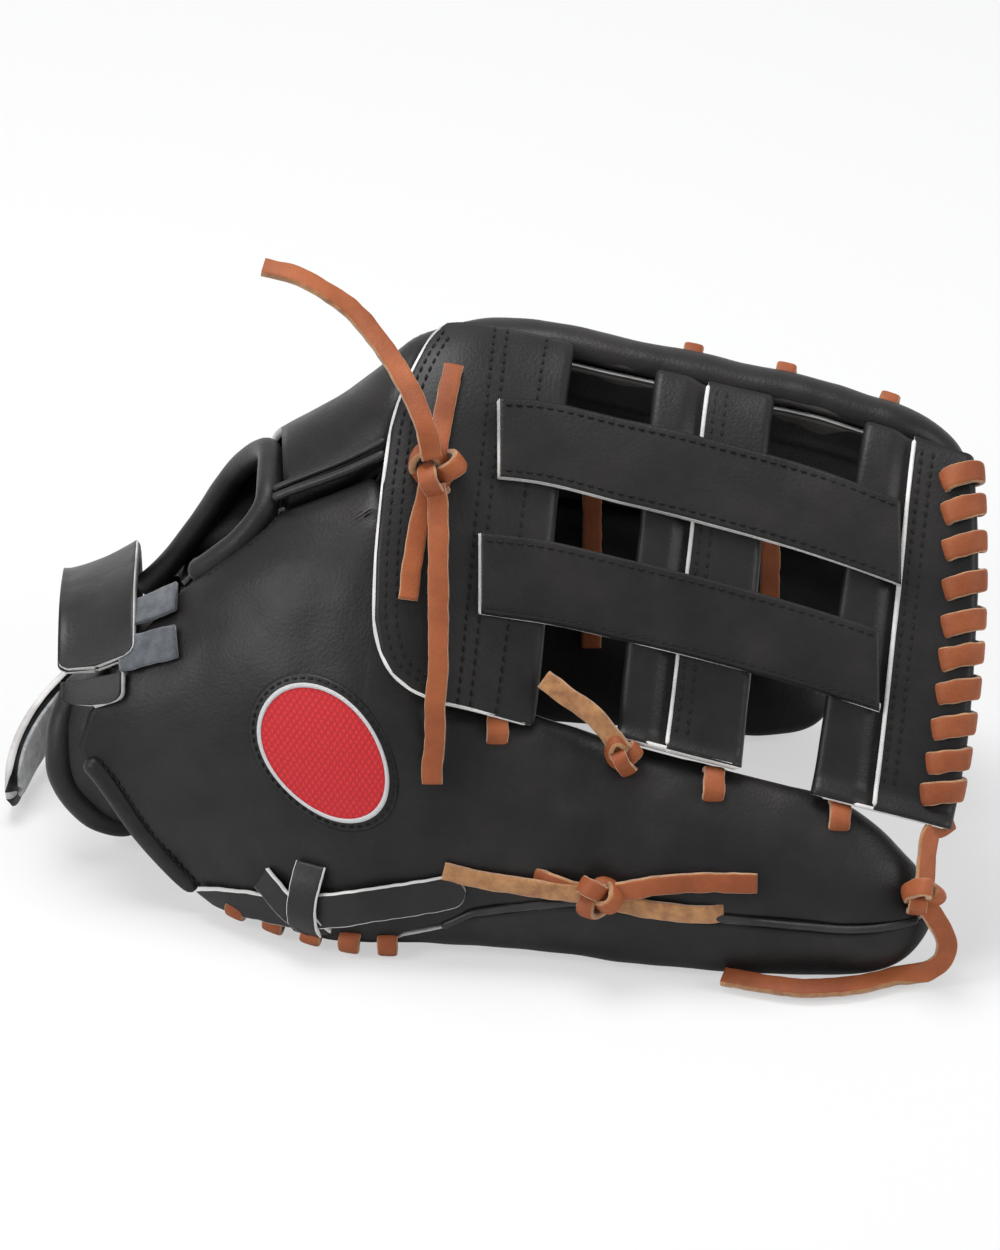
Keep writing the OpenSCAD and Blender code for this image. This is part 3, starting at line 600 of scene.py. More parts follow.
def lace(name, points, ups, body, wide=lace_wide, thick=lace_thick, finishes=None, power=5, wander=0.35,
         step=1.1, parts=(), rounded=False):
    """A flat strip along the points, its grain face towards the normals, with slightly uneven cut sides."""
    rows, length = smooth_run(np.hstack([np.array(points), np.array(ups)]), 60)
    count = max(10, int(length / mm / step))
    rows, length = smooth_run(np.hstack([np.array(points), np.array(ups)]), count + 1)
    spots, up = rows[:, :3], rows[:, 3:]
    run = np.gradient(spots, axis=0)
    run /= np.linalg.norm(run, axis=1)[:, None]
    up = up - np.sum(up * run, axis=1)[:, None] * run
    up /= np.linalg.norm(up, axis=1)[:, None]
    side = np.cross(run, up)
    strip = bmesh.new()
    around = 20
    bmesh.ops.create_grid(strip, x_segments=count, y_segments=around, size=0.5)
    layer = strip.loops.layers.uv.new("cut")
    for face in strip.faces:
        face.smooth = True
        middle = face.calc_center_median()[1] + 0.5
        face.material_index = 0 if abs(middle - 0.25) < 0.17 else 1
        for loop in face.loops:
            loop[layer].uv = loop.vert.co[0] * length, (loop.vert.co[1] + 0.5) * wide * mm
    for v in strip.verts:
        i = round((v.co[0] + 0.5) * count)
        turn = 2 * math.pi * (v.co[1] + 0.5)
        c, w = math.cos(turn), math.sin(turn)
        x, y, z = spots[i] * 240
        rough = wander * noise.noise(Vector((x, z + 3 * np.sign(c), y)))
        left = min(1, (1 - i / count) * length / mm / (wide * 0.6)) if rounded else 1
        narrowing = math.sqrt(max(0.01, 1 - (1 - left) ** 2))
        across = math.copysign(abs(c) ** (2 / power), c) * (wide / 2 + rough) * narrowing
        over = math.copysign(abs(w) ** (2 / power), w) * thick / 2
        v.co = Vector(spots[i] + (side[i] * across + up[i] * over) * mm)
    bmesh.ops.remove_doubles(strip, verts=strip.verts, dist=0.02 * mm)
    open_edges = [e for e in strip.edges if e.is_boundary]
    for face in bmesh.ops.holes_fill(strip, edges=open_edges, sides=0)["faces"]:
        face.material_index = 1
    bmesh.ops.recalc_face_normals(strip, faces=strip.faces)
    piece = add_piece(name, strip, finishes or (rust_grain, rust_suede))
    if body:
        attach(piece, body)
    if parts:
        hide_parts(*parts)
    return piece


def web_top_face(x, s):
    return at(x, s, web_h(x) + panel)


def stall_face(k):
    """The outer surface of stall k, over x and the angle round it."""
    def face(x, angle):
        return stall_skin(np.array(float(x)), float(angle), stall_tip[k], low_edge(k, x), finger_high[k],
                          half_thick(x), stall_power, stall_tip[k] - tip_round[k])
    return face


thumb_face, index_face = stall_face(0), stall_face(1)


def root_face(x, angle):
    c, w = math.cos(math.radians(angle)), abs(math.sin(math.radians(angle)))
    q = -math.copysign(abs(c) ** (2 / root_power), c)
    return at(x, root_s(q), seam_gap + (hand_half - seam_gap) * w ** (2 / root_power))


def on_face(face, a, b, lift, probe=0.05):
    """A place on a surface raised by lift mm, with the surface's outward normal."""
    spot = face(a, b)
    n = np.cross(face(a + 0.5, b) - face(a - 0.5, b), face(a, b + probe) - face(a, b - probe))
    n /= np.linalg.norm(n)
    if np.dot(n, spot - np.array([spot[0], 0.03, 0.06])) < 0:
        n = -n
    return spot + n * lift * mm, n


def row_on(face, places, probe=0.05):
    """The places and the outward normals of a row laid on a surface."""
    return zip(*[on_face(face, a, b, lift, probe) for a, b, lift in places])


def laid_lace(name, face, places, body, probe=0.05, **look):
    """A lace laid on a surface; probe is the small step to either side that gives the surface's slope."""
    return lace(name, *row_on(face, places, probe), body, **look)


def drawn_knot(name, spot, up, along, size, wide, thick, step=0.8, parts=()):
    """An overhand knot drawn tight: a closed three-lobed curve that passes over and under itself."""
    side = np.cross(up, along)
    t = np.linspace(0, 2 * np.pi, 48)
    a = (np.sin(t) + 2 * np.sin(2 * t)) / 3
    b = (np.cos(t) - 2 * np.cos(2 * t)) / 3
    c = -np.sin(3 * t) * 0.62
    offset = a[:, None] * side + b[:, None] * along + c[:, None] * up
    lace(name, spot + offset * size * mm, offset + up * 0.55, "thumb_web", wide=wide, thick=thick, power=3.5,
         parts=parts, step=step)


tail_up = [(-20, -28, 158), (-22, -24, 167), (-27, -14, 175), (-35, -2, 183), (-44, 8, 190), (-53, 13, 195),
           (-63, 17, 199), (-74, 19, 201)]
tail_down = [(-19, -30, 150), (-18, -35, 142), (-18, -42, 134), (-18, -50, 123), (-18, -57, 112),
             (-18, -63, 102), (-19, -67, 91), (-19, -70, 80), (-20, -72, 71), (-20, -74, 65)]
top_tail = [(137, -92, 31), (141, -93, 25), (144, -94, 18), (143, -94, 11), (138, -93, 6), (128, -93, 4),
            (115, -98, 4), (99, -100, 4), (85, -97, 4), (73, -93, 4)]


def tail(name, route, ups, part):
    points = np.array(route, float) * mm
    piece = lace(name, points, ups, "thumb_web", parts=[part], wide=6.6, thick=2.8)
    return piece


tail("base_tail_up_lace", tail_up,
     [(0.2, -0.85, 0.5)] * 3 + [(0.25, -0.6, 0.75)] * 2 + [(0.3, -0.35, 0.9)] * 3, "base_tail_up")
tail("base_tail_down_lace", tail_down, [(-0.1, -0.85, 0.5)] * 10, "base_tail_down")
tail("top_tail_lace", top_tail, [(0.3, -0.9, 0.3), (0.5, -0.85, 0.2), (0.3, -0.95, 0), (0, -0.95, 0.2),
                                (0, -0.8, 0.5)] + [(0, -0.3, 0.95)] * 5, "top_tail")

base_spot, base_up = on_face(web_top_face, -21, 3.17, 6.2)
along_web = web_top_face(-21, 3.6) - web_top_face(-21, 2.8)
along_web /= np.linalg.norm(along_web)
drawn_knot("base_knot_turns", base_spot, base_up, along_web, 8.0, 6.2, 2.6, 0.9, ["base_knot"])
for end, places in (("up", [(-21, 3.2, 5), (-19, 3.4, 2.4), (-17, 3.56, 1.8), (-15, 3.72, 1.8)]),
                    ("down", [(-23, 3.1, 4), (-26, 2.9, 2), (-28, 2.7, 1.8), (-29.5, 2.52, 1.8)])):
    laid_lace(f"base_knot_end_{end}", web_top_face, places, "thumb_web")

bar_spot, bar_up = on_face(thumb_face, 39, 150, 4.6, 3)
drawn_knot("crossbar_knot_turns", bar_spot, bar_up, np.array([0.8, 0.1, -0.6]), 5.6, 5.2, 2.3,
           parts=["crossbar_knot"])
tail_spots = [bar_spot + bar_up * 1.5 * mm, at(30, 2.14, 15.5), at(22, 2.2, 14.2), at(14, 2.26, 12.8)]
flesh_out = (rust_suede, rust_suede)
lace("crossbar_knot_tail", tail_spots, [(-0.2, -0.9, 0.4)] * 4, "thumb_web", finishes=flesh_out)

top_spot, top_up = on_face(thumb_face, 132, 100, 5.8, 3)
drawn_knot("top_knot_turns", top_spot, top_up, np.array([0.3, -0.1, 0.95]), 6.4, 6.0, 2.5,
           parts=["top_knot"])
lace("top_knot_end", [top_spot + top_up * mm, at(137, 1.9, 10), at(141, 2.0, 7), at(144, 2.07, 4.4)],
     [(0.4, -0.85, 0.3)] * 4, "thumb_web")

for name, places, look in (
        ("left", [(-18, 81, 1.6), (-8, 79.5, 1.8), (4, 78.5, 2.2), (18, 79, 3.2), (29, 81, 4.8)],
         {"finishes": flesh_out, "wide": 6.0, "thick": 2.2}),
        ("right", [(31, 81, 4.8), (40, 84, 3.4), (52, 88, 2.4), (66, 90.5, 2.0), (82, 93, 1.8)],
         {"parts": ["thumb_tie"]}),
        ("under", [(31, 80, 3.4), (42, 78.5, 2.4), (54, 78.5, 2.0), (65, 79.5, 1.6), (71, 80.5, -0.6)],
         {"finishes": flesh_out, "wide": 6.0, "thick": 2.2}),
        ("in", [(11, 82, -0.8), (16, 81.5, 1.8), (23, 81, 3.2), (29, 81, 3.6)], {"wide": 5.6, "thick": 2.2})):
    laid_lace(f"thumb_tie_{name}", thumb_face, places, "thumb_web", 3, **look)
tie_spot, tie_up = on_face(thumb_face, 32, 81, 5.4, 3)
drawn_knot("thumb_tie_turns", tie_spot, tie_up, np.array([0.2, 0, 0.98]), 6.4, 6.0, 2.4)

# ---- Linings and stiffeners: thin grey-brown hide inside each stall and over the palm, and hard card in
# the backs of the two outer stalls. They are only seen through the mouths.
lining_hide = hide_finish("lining_hide", (0.03, 0.027, 0.025), (0.055, 0.05, 0.046), 0.7, grain=1100)
card = hide_finish("stiff_card", (0.05, 0.045, 0.04), (0.08, 0.072, 0.065), 0.8, grain=600)
lining_thick, ease_gap, stiff_thick, felt_thick = 1.2, 0.9, 1.6, 6.0
felt_level = leather + felt_thick + ease_gap


def stall_lining(k, rear, inset):
    def place(u, v):
        tip = stall_tip[k] - inset
        x = to_tip(rear, tip, u, 1.35)
        return stall_skin(x, mix(4, 356, v), tip, low_edge(k, x), finger_high[k], half_thick(x) - inset,
                          stall_power, tip - tip_round[k])
    return place


plain_inset = leather + ease_gap
stiff_inset = leather + stiff_thick + 2 * ease_gap
for k, rear, inset in ((1, -10, plain_inset), (2, -20, plain_inset), (3, -20, plain_inset),
                       (4, -20, stiff_inset), (0, -22, stiff_inset)):
    tube_lining = sheet_of_leather(f"{finger_names[k]}_lining_sleeve", 40, 60, stall_lining(k, rear, inset),
                                   1.1, [lining_hide], "hand" if k else "thumb_web")
    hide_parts(f"{finger_names[k]}_lining")


for part in ("pinky_stiffener", "thumb_stiffener"):
    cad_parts[part].data.materials.clear()
    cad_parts[part].data.materials.append(card)


def palm_layer(level, rear_in, front_in):
    def place(u, v):
        s = mix(0.18, 0.82, v)
        along = mix(palm_low, palm_high, s)
        front = np.where(along < 4, flex_x(along, np.full_like(along, -hand_half)) - 2.4, -20.6)
        return palm_at(mix(knots(s, palm_rear) + rear_in, front - front_in, u), s, level)
    return place


palm_sheet = sheet_of_leather("palm_lining_sheet", 36, 70,
                              palm_layer(felt_level + ease_gap + lining_thick, 10, 10), lining_thick,
                              [lining_hide], "hand", worn=0.4)
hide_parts("palm_lining")

heel_felt = suede_finish("heel_felt", (0.05, 0.055, 0.06), (0.12, 0.125, 0.13))
heel_padding = sheet_of_leather("heel_padding", 30, 60, palm_layer(felt_level, 10, 34), 5.8,
                                [heel_felt], "hand", worn=0.5)
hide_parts("heel_pad")

# ---- Rolled edges: a strip of soft black hide sewn and rolled over a cord, round the mouth of the glove
# and down the rear of the thumb's shell, a fatter padded roll round the wrist with a soft facing behind
# it, and the pale raw edges of the web's panels.
soft_hide = hide_finish("soft_hide", (0.006, 0.006, 0.0064), (0.017, 0.016, 0.016), 0.46, coat=0.03)


def rolled(name, points, radius, finishes, body=None, sides=20, crumple=0.25, flat=1.0):
    """A soft roll along the points, with closed round ends; flat squeezes it from above."""
    rows, length = smooth_run(points, 200)
    count = max(12, int(length / mm / 1.2))
    rows, length = smooth_run(points, count + 1)
    run = np.gradient(rows, axis=0)
    run /= np.linalg.norm(run, axis=1)[:, None]
    side = np.cross(run, np.array([0, 0, 1.0]))
    side /= np.linalg.norm(side, axis=1)[:, None]
    over = np.cross(side, run)

    def place(u, v):
        i = np.round(u * count).astype(int)
        near = np.minimum(u, 1 - u) * length / mm
        r = radius * np.sqrt(np.clip(1 - (1 - np.minimum(near / radius, 1)) ** 2, 0.0004, 1))
        turn = 2 * np.pi * v
        spread = side[i] * (np.cos(turn) * r)[:, None] + over[i] * (np.sin(turn) * r * flat)[:, None]
        return rows[i] + spread * mm

    return sheet_of_leather(name, count, sides, place, 0, finishes, body, worn=crumple, closed=True)


opening_rim = [(-99, 3.22), (-95, 3.17), (-90, 3.17), (-84, 3.2), (-79, 3.29), (-75, 3.43), (-74, 3.65),
               (-74, 4.2), (-77.5, 4.6), (-84.5, 5), (-90, 5.25), (-96, 5.5), (-105, 5.75), (-112, 6),
               (-118, 6.25)]
mouth_roll = rolled("mouth_roll", [at(x, s, 12) for x, s in opening_rim], 4.2, [soft_hide], "hand")
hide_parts("opening_binding")

cuff_near = [(-134, 3, 53), (-139, -4, 46), (-140.5, -9, 38), (-140, -12, 29), (-135.5, -14, 21),
             (-128, -14, 14), (-119, -10, 10), (-116, 2, 12), (-120, 16, 14), (-122, 30, 12)]
cuff_route = [at(-124, 2.3, 5)] + [np.array(p) * mm for p in cuff_near]
cuff_route += [at(x, s, h) for x, s, h in ((-126, 7.7, 0), (-130, 7.2, 3), (-126, 6.6, 8))]
wrist_roll = rolled("wrist_roll", cuff_route, 5.0, [soft_hide], "hand", sides=28, crumple=0.4)
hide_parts("wrist_cuff")

facing_rear = np.array([(-0.9, 0.0), (-0.8, 0.14), (-0.65, 0.3), (-0.5, 0.46), (-0.38, 0.6), (-0.24, 0.74),
                        (-0.1, 0.86), (0.1, 1.0)])
facing_roll, _ = smooth_run([np.array(p) * mm for p in cuff_near[:7][::-1]], 60)


def facing(u, v):
    """A soft inner facing, from just inside the shell's rear edge to the middle of the wrist roll."""
    q = mix(facing_rear[0, 0], facing_rear[-1, 0], v)
    share = np.interp(q, facing_rear[:, 0], facing_rear[:, 1])
    roll = facing_roll[np.clip(np.round(share * 59), 0, 59).astype(int)]
    over = seam_gap + (hand_half - seam_gap) * (1 - np.abs(q) ** root_power) ** (1 / root_power)
    edge = at(knots(q, root_rear) + 9, root_s(q), over - leather - 1.6)
    sag = np.sin(np.pi * u)[:, None] * np.array([0, 5.0, 3.0]) * mm
    return mix(edge, roll, u[:, None]) + sag


wrist_facing = sheet_of_leather("wrist_facing", 30, 60, facing, 1.4, [soft_hide], "hand", worn=0.8)


def cut_edge(name, places, radius=0.75, body="thumb_web"):
    """The raw flesh side that shows as a pale line along a panel's cut edge; places are x, s and lift."""
    line = [on_face(web_top_face, x, s, lift + float(edge_lift(s)) * (x > 30))[0] for x, s, lift in places]
    edge = rolled(name, line, radius, [raw_edge], body, sides=10, crumple=0.12)
    if not body:
        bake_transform(edge)


rim = np.linspace(0.012, 0.988, 36)
cut_edge("base_rear_cut", [(x, s, -0.8) for s, x in base_cut[1:]], 0.85, None)
cut_edge("base_low_cut", [(x, base_low + 0.005, -0.8) for x in np.linspace(-19, 9, 14)], 0.8, None)
cut_edge("crossbar_seam_cut", [(crossbar_seam(v), mix(crossbar_low, web_high, v), 0.0) for v in rim], 0.6)
cut_edge("crossbar_low_cut", [(x, crossbar_low + 0.005, -0.8) for x in np.linspace(40, 75, 12)], 0.7)
cut_edge("top_seam_cut", [(top_seam(v), mix(top_low, web_high, v), 0.0) for v in rim], 0.75)
cut_edge("top_low_cut", [(x, top_low + 0.005, -0.8) for x in np.linspace(102, 142, 12)], 0.7)

rear_edge = []
for q in (-0.97, -0.9, -0.8, -0.65, -0.5, -0.38, -0.27):
    angle = math.degrees(math.acos(-math.copysign(abs(q) ** (root_power / 2), q)))
    rear_edge.append(on_face(root_face, float(knots(q, root_rear)) + 1.5, angle, -0.4, 2)[0])
heel_roll = rolled("heel_edge_roll", rear_edge, 3.4, [soft_hide], "hand", crumple=0.15)

# ---- Welts: a fine piping of rolled black hide, caught in the seams between the stalls, along the
# seam on the outside of the thumb, where the palm's leather comes round, and where the thumb's shell
# meets the index finger's under the web.
welt_hide = hide_finish("welt_hide", (0.01, 0.01, 0.011), (0.03, 0.029, 0.029), 0.38, coat=0.12)
welts = []
for k in (1, 2, 3):
    row = [at(x, 4 + k, 0) for x in np.linspace(-28, stall_tip[k] - tip_round[k] - 2, 22)]
    welts.append((finger_names[k], row, 2.0, "hand", 14, 0.5, "finger_welts"))
row = [at(x, 7.94, 0) for x in np.linspace(-14, stall_tip[4] - tip_round[4], 20)]
welts.append(("pinky", row, 1.7, "hand", 14, 0.5, "pinky_welt"))
row = [on_face(thumb_face, x, float(knots(x, wrap_cut)), 0.1, 3)[0] for x in np.linspace(-19, 124, 30)]
row += [on_face(thumb_face, x, 79.0, -0.3, 3)[0] for x in (130, 134)]
welts.append(("thumb", row, 1.35, "thumb_web", 16, 1.0, "thumb_welt"))
for name, row, radius, body, sides, flat, part in welts:
    piping = rolled(f"{name}_seam_piping", row, radius, [welt_hide], body, sides, 0.05, flat)
    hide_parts(part)
for name, s, h, r in (("thumb_root_piping", 3.415, 15.4, 1.5), ("index_root_piping", 3.5, 15.6, 1.1)):
    row = [at(x, s, h) for x in np.linspace(-73, -36, 16)]
    piping = rolled(name, row, r, [welt_hide], "hand", crumple=0.05, sides=14)


# ---- Edge lacing: the same rawhide, threaded in short turns over the edges: ten round the web's top
# edge, three where the web meets the thumb and three where it meets the index, two across the stalls
# inside the pocket, and a row round the heel.
def turn_over(name, edge, out, up, half, reach, body, part, wide=6.6, lean=np.zeros(3)):
    """One turn of lace over an edge: from a hole in the front, round the edge and back to one behind."""
    deep = half + 1.5
    route = [(-reach, half - 1.2, -1), (-reach * 0.85, deep, -0.85), (-reach * 0.4, deep + 0.6, -0.4),
             (0.4, deep * 0.8, 0), (1.9, 0, 0.2), (0.4, -deep * 0.8, 0.4), (-reach * 0.4, -deep - 0.3, 0.7),
             (-reach, -half + 0.6, 1)]
    spots = [edge + (out * a + up * b + lean * c * reach) * mm for a, b, c in route]
    ups = [up, up, up + out * 0.3, up + out, out, out - up, -up, -up]
    lace(name, spots, ups, body, wide=wide, power=3.6, wander=0.5, step=0.9, parts=[part])


def top_edge(s):
    x = web_front((s - web_low) / (web_high - web_low))
    return at(x, s, web_h(x) + panel / 2)


for i in range(10):
    s = mix(2.26, 3.84, i / 9)
    edge = top_edge(s)
    run = top_edge(s + 0.05) - top_edge(s - 0.05)
    run /= np.linalg.norm(run)
    up = on_face(web_top_face, 148, s, 0)[1]
    out = np.cross(run, up)
    out *= np.sign(out[0])
    turn_over(f"web_edge_turn_{i + 1}", edge, out, up, panel / 2, 10.5, "thumb_web", "web_top_lacing", 7.4,
              run * 0.3)


def nub(name, face, x, angles, body, part, wide=6.4, rise=2.4):
    """A short stitch of lace: out of one hole, over the leather and into the next."""
    places = [(x, mix(*angles, share), lift) for share, lift in
              ((0, -1.2), (0.14, rise * 0.75), (0.5, rise), (0.86, rise * 0.75), (1, -1.2))]
    laid_lace(name, face, places, body, 3, wide=wide, power=3.6, wander=0.45, step=0.8, parts=[part])


for i, x in enumerate((-1, 68, 108)):
    nub(f"web_to_thumb_{i + 1}", thumb_face, x, (137, 165), "thumb_web", "thumb_edge_lacing", 7.0)
for i, x in enumerate((62, 92, 125)):
    nub(f"web_to_index_{i + 1}", index_face, x, (64, 100), "hand", "index_lacing")
for i, x in enumerate((30, 88)):
    row = np.linspace(4.7, 7.3, 14)
    spots = [at(x, s, -stall_half - 1.9 + 2.2 * abs(math.sin(math.pi * (s - 4)))) for s in row]
    ups = [at(x, s, -30) - at(x, s, 0) for s in row]
    lace(f"across_stalls_{i + 1}", spots, ups, "hand", parts=["finger_lacing"])
for i, x in enumerate((-84, -72, -60, -48, -36)):
    nub(f"heel_turn_{i + 1}", root_face, x, (32, 12), "hand", "heel_lacing", 6.8, rise=2.8)


def palm_rim(v):
    return palm_at(np.array([float(knots(v, palm_rear))]), np.array([v]), leather / 2)[0]


for i in range(7):
    v = 0.14 + 0.12 * i
    run = palm_rim(v + 0.03) - palm_rim(v - 0.03)
    run /= np.linalg.norm(run)
    inward = palm_at(np.array([float(knots(v, palm_rear)) + 6]), np.array([v]), leather / 2)[0] - palm_rim(v)
    up = np.cross(inward, run)
    up /= np.linalg.norm(up)
    turn_over(f"heel_loop_{i + 1}", palm_rim(v), np.cross(up, run), up, leather / 2 + 0.4, 7, "hand",
              "heel_lacing")

# ---- Wrist strap: a band of doubled black hide over the back of the wrist. Its near end is a round-cornered
# tab held to the shell by two strips of grey felt, and its far end is a tab with a hook face that peels off.
strap_hide = hide_finish("strap_hide", (0.006, 0.006, 0.0065), (0.019, 0.017, 0.017), 0.44, coat=0.06)
strap_hides = [strap_hide, raw_edge]
grey_felt = suede_finish("grey_felt", (0.02, 0.024, 0.032), (0.075, 0.085, 0.1))
white_pile = suede_finish("white_pile", (0.3, 0.31, 0.32), (0.62, 0.63, 0.64))


def strap_top(lift, low, half_w=12.0, x_mid=-130.0, high=7.94):
    """A ply of the strap over the wrist, from its rounded near end at s = low."""
    def place(u, v):
        s = mix(low, high, v)
        near = (s - low) * 60
        w = half_w * np.where(near < 9, (1 - np.clip(1 - near / 9, 0, 1) ** 2.6) ** (1 / 2.6), 1.0)
        return at(x_mid + (2 * u - 1) * np.maximum(w, 0.6), s, hand_half + 1.2 + lift)
    return place


strap_face, strap_back = [
    sheet_of_leather(f"wrist_strap_{name}", 24, 160, strap_top(lift, low, half_w), thick, strap_hides,
                     "hand", worn=0.4)
    for name, lift, low, half_w, thick in (("face", 3.3, 2.45, 12, 1.6), ("back", 1.5, 2.42, 12.3, 1.4))]
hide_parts("wrist_strap")
anchor = sheet_of_leather("strap_under_layer", 18, 30, strap_top(3.0, 1.98, 10, -131.5, 2.32), 2.6,
                          strap_hides, "hand", worn=0.3)
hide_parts("strap_anchor")
felt_run = ((-121, 2.6), (-115, 2.2), (-109, 1.9), (-103, 1.5))
for i, angle in enumerate((126, 106)):
    laid_lace(f"felt_leg_{i + 1}", root_face, [(x, angle, lift) for x, lift in felt_run], "hand", 3,
              wide=11.5, thick=1.9, finishes=(grey_felt, grey_felt), wander=0.4, parts=["anchor_legs"])

tab_root = at(-134, 8, 16) + np.array([-2, -1.6, 6]) * mm
tab_end = np.array([-157, 5, 11]) * mm
tab_dir = tab_end - tab_root
tab_dir /= np.linalg.norm(tab_dir)
tab_out = np.cross(tab_dir, [0, 0, 1])
tab_out /= np.linalg.norm(tab_out)


def tab_sheet(lift, shorter, half_w):
    rise = np.cross(tab_out, tab_dir)

    def place(u, v):
        far = (1 - v) * 34
        w = half_w * np.where(far < 8, (1 - np.clip(1 - far / 8, 0, 1) ** 2.4) ** (1 / 2.4), 1.0)
        along = mix(0, 1 - shorter, v)
        spot = mix(tab_root, tab_end, along[:, None])
        bow = lift + 4 * np.sin(np.pi * along) + 1.2 * (2 * u - 1) ** 2
        return spot + (tab_out * bow[:, None] + rise * ((1 - 2 * u) * np.maximum(w, 0.5))[:, None]) * mm
    return place


tab_face = sheet_of_leather("strap_tab_face", 24, 40, tab_sheet(1.5, 0, 10), 2.9, strap_hides, "strap_tab",
                            worn=0.3)
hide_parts("strap_tab")
hook = sheet_of_leather("strap_hook_pile", 20, 36, tab_sheet(-1.7, 0.05, 8), 1.3, [white_pile], "strap_tab",
                        worn=0.5)
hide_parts("tab_hook")


# ---- Tied loop at the heel: one strip of thin black hide with raw grey edges, laid along the thumb's
# lower edge and tied in a flat knot, so its rounded free end reaches on to the stall.
def shell_at(x, s):
    """A place on the outside of the thumb's shell, given by its own x and s."""
    lo, hi, power = thumb_section(x)
    q = np.clip(abs((s - lo) / (hi - lo) * 2 - 1), 0, 0.999)
    return at(x, s, seam_gap + (half_thick(x) - seam_gap) * (1 - q**power) ** (1 / power))


loop_pieces = [
    laid_lace(f"heel_loop_strap_{name}", shell_at, places, body, finishes=strap_hides, power=7, thick=2.0,
              **look)
    for name, body, places, look in (
        ("left", "hand", [(-94, 0.11, 1.2), (-86, 0.2, 1.5), (-78, 0.26, 1.9), (-68, 0.3, 2.8),
                          (-62, 0.34, 3.4)],
         {"wide": 10.5, "parts": ["thumb_loop"]}),
        ("under", "hand", [(-76, 0.5, 1.0), (-71, 0.44, 3.2), (-65, 0.36, 4.8), (-60, 0.27, 3.8),
                           (-57, 0.17, 1.6)],
         {"wide": 9}),
        ("band", "hand", [(-60, 0.68, 1.0), (-60.5, 0.58, 4.6), (-61, 0.43, 6.8), (-61, 0.29, 5.6),
                          (-61, 0.16, 2.0)],
         {"wide": 10}),
        ("right", None, [(-61, 0.36, 3.2), (-52, 0.42, 3.0), (-42, 0.49, 2.4), (-28, 0.58, 1.9),
                         (-11, 0.69, 1.6)],
         {"wide": 12, "parts": ["thumb_loop_tail"], "rounded": True}))]
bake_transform(loop_pieces[-1])

# ---- Patch: a plain oval badge on the root of the thumb, red twill with a raised border of white satin
# stitch, on a black leather ground that is sewn down all round. Nothing is written on it.
def cloth_finish(name, dark, light, weave, from_uv=False, sheen=0.2, turns=(0.6, -0.6)):
    """Woven or stitched thread: two sets of fine ribs in relief, with painted shade making the colour darker
    in the grooves between them and lighter on their crests.
    """
    material, tree = new_material(name)
    where = node(tree, "ShaderNodeTexCoord")
    source = where.outputs["UV" if from_uv else "Object"]
    ribs = []
    for turn in turns:
        aim = node(tree, "ShaderNodeMapping")
        aim.inputs["Rotation"].default_value = (0, 0 if from_uv else turn, turn if from_uv else 0)
        rib = node(tree, "ShaderNodeTexWave", Scale=weave, Distortion=1.2, Detail=2.0)
        wire(tree, (source, aim.inputs["Vector"]), (aim.outputs["Vector"], rib.inputs["Vector"]))
        ribs.append(rib)
    both = node(tree, "ShaderNodeMath", operation="MULTIPLY")
    # The rib height also sets the colour, dark in the grooves and light on the crests: painted shade.
    tone = tone_ramp(tree, 0, dark, 0.55, light)
    bump = node(tree, "ShaderNodeBump", Strength=0.7, Distance=0.0003)
    shader = node(tree, "ShaderNodeBsdfPrincipled", Roughness=0.75)
    shader.inputs["Sheen Weight"].default_value = sheen
    wire(tree, (ribs[0].outputs["Fac"], both.inputs[0]), (ribs[1].outputs["Fac"], both.inputs[1]),
         (both.outputs[0], tone.inputs[0]))
    wire_finish(tree, tone, both, bump, shader)
    return material


patch_x, patch_s, patch_unit = -56.5, 1.52, 37
patch_half, patch_tilt = (22.6, 17.2), math.radians(31.5)


def patch_spot(r, turn, lift):
    """A place on the oval, r out from its middle, raised by lift from the root of the thumb."""
    m, n = r * np.cos(turn) * patch_half[0], r * np.sin(turn) * patch_half[1]
    x = patch_x + m * math.cos(patch_tilt) + n * math.sin(patch_tilt)
    s = patch_s + (-m * math.sin(patch_tilt) + n * math.cos(patch_tilt)) / patch_unit
    over = hand_half * np.maximum(0.01, 1 - np.abs((s - 1.7) / 1.7) ** root_power) ** (1 / root_power)
    return at(x, s, over + lift)


def patch_ground(u, v):
    return patch_spot(0.86 + 0.27 * u, 2 * np.pi * v, 1.0 - 0.7 * u**3)


def patch_twill(u, v):
    return patch_spot(0.955 * u, 2 * np.pi * v, 1.35 + 0.3 * (1 - u**2))


def patch_border(u, v):
    around, rise = 2 * np.pi * u, 2 * np.pi * v
    return patch_spot(0.965 + 0.033 * np.cos(rise), around, 1.3 + 0.6 * np.sin(rise))


red_twill = cloth_finish("red_twill", (0.36, 0.004, 0.008), (0.54, 0.01, 0.016), 190, sheen=0.02)
white_satin = cloth_finish("white_satin", (0.42, 0.42, 0.43), (0.75, 0.75, 0.76), 118, True, turns=(0, 0.02))
ground = sheet_of_leather("patch_ground", 8, 120, patch_ground, 0.7, [black_hide], "hand", closed=True)
twill = sheet_of_leather("patch_twill", 24, 96, patch_twill, 0.6, [red_twill], "hand", closed=True)
border = sheet_of_leather("patch_border", 160, 12, patch_border, 0, [white_satin], "hand", closed=True)
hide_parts("logo_patch")

# ---- Seams: rows of waxed black thread, each stitch a short sunk dash, along the web's panels and
# strips, round the patch, and beside the rolls of the mouth and of the heel's edge.
thread = hide_finish("waxed_thread", (0.002, 0.002, 0.002), (0.004, 0.004, 0.0045), 0.6, grain=2500)


thread_wide, thread_rise, thread_lift = 0.9, 0.32, 0.1


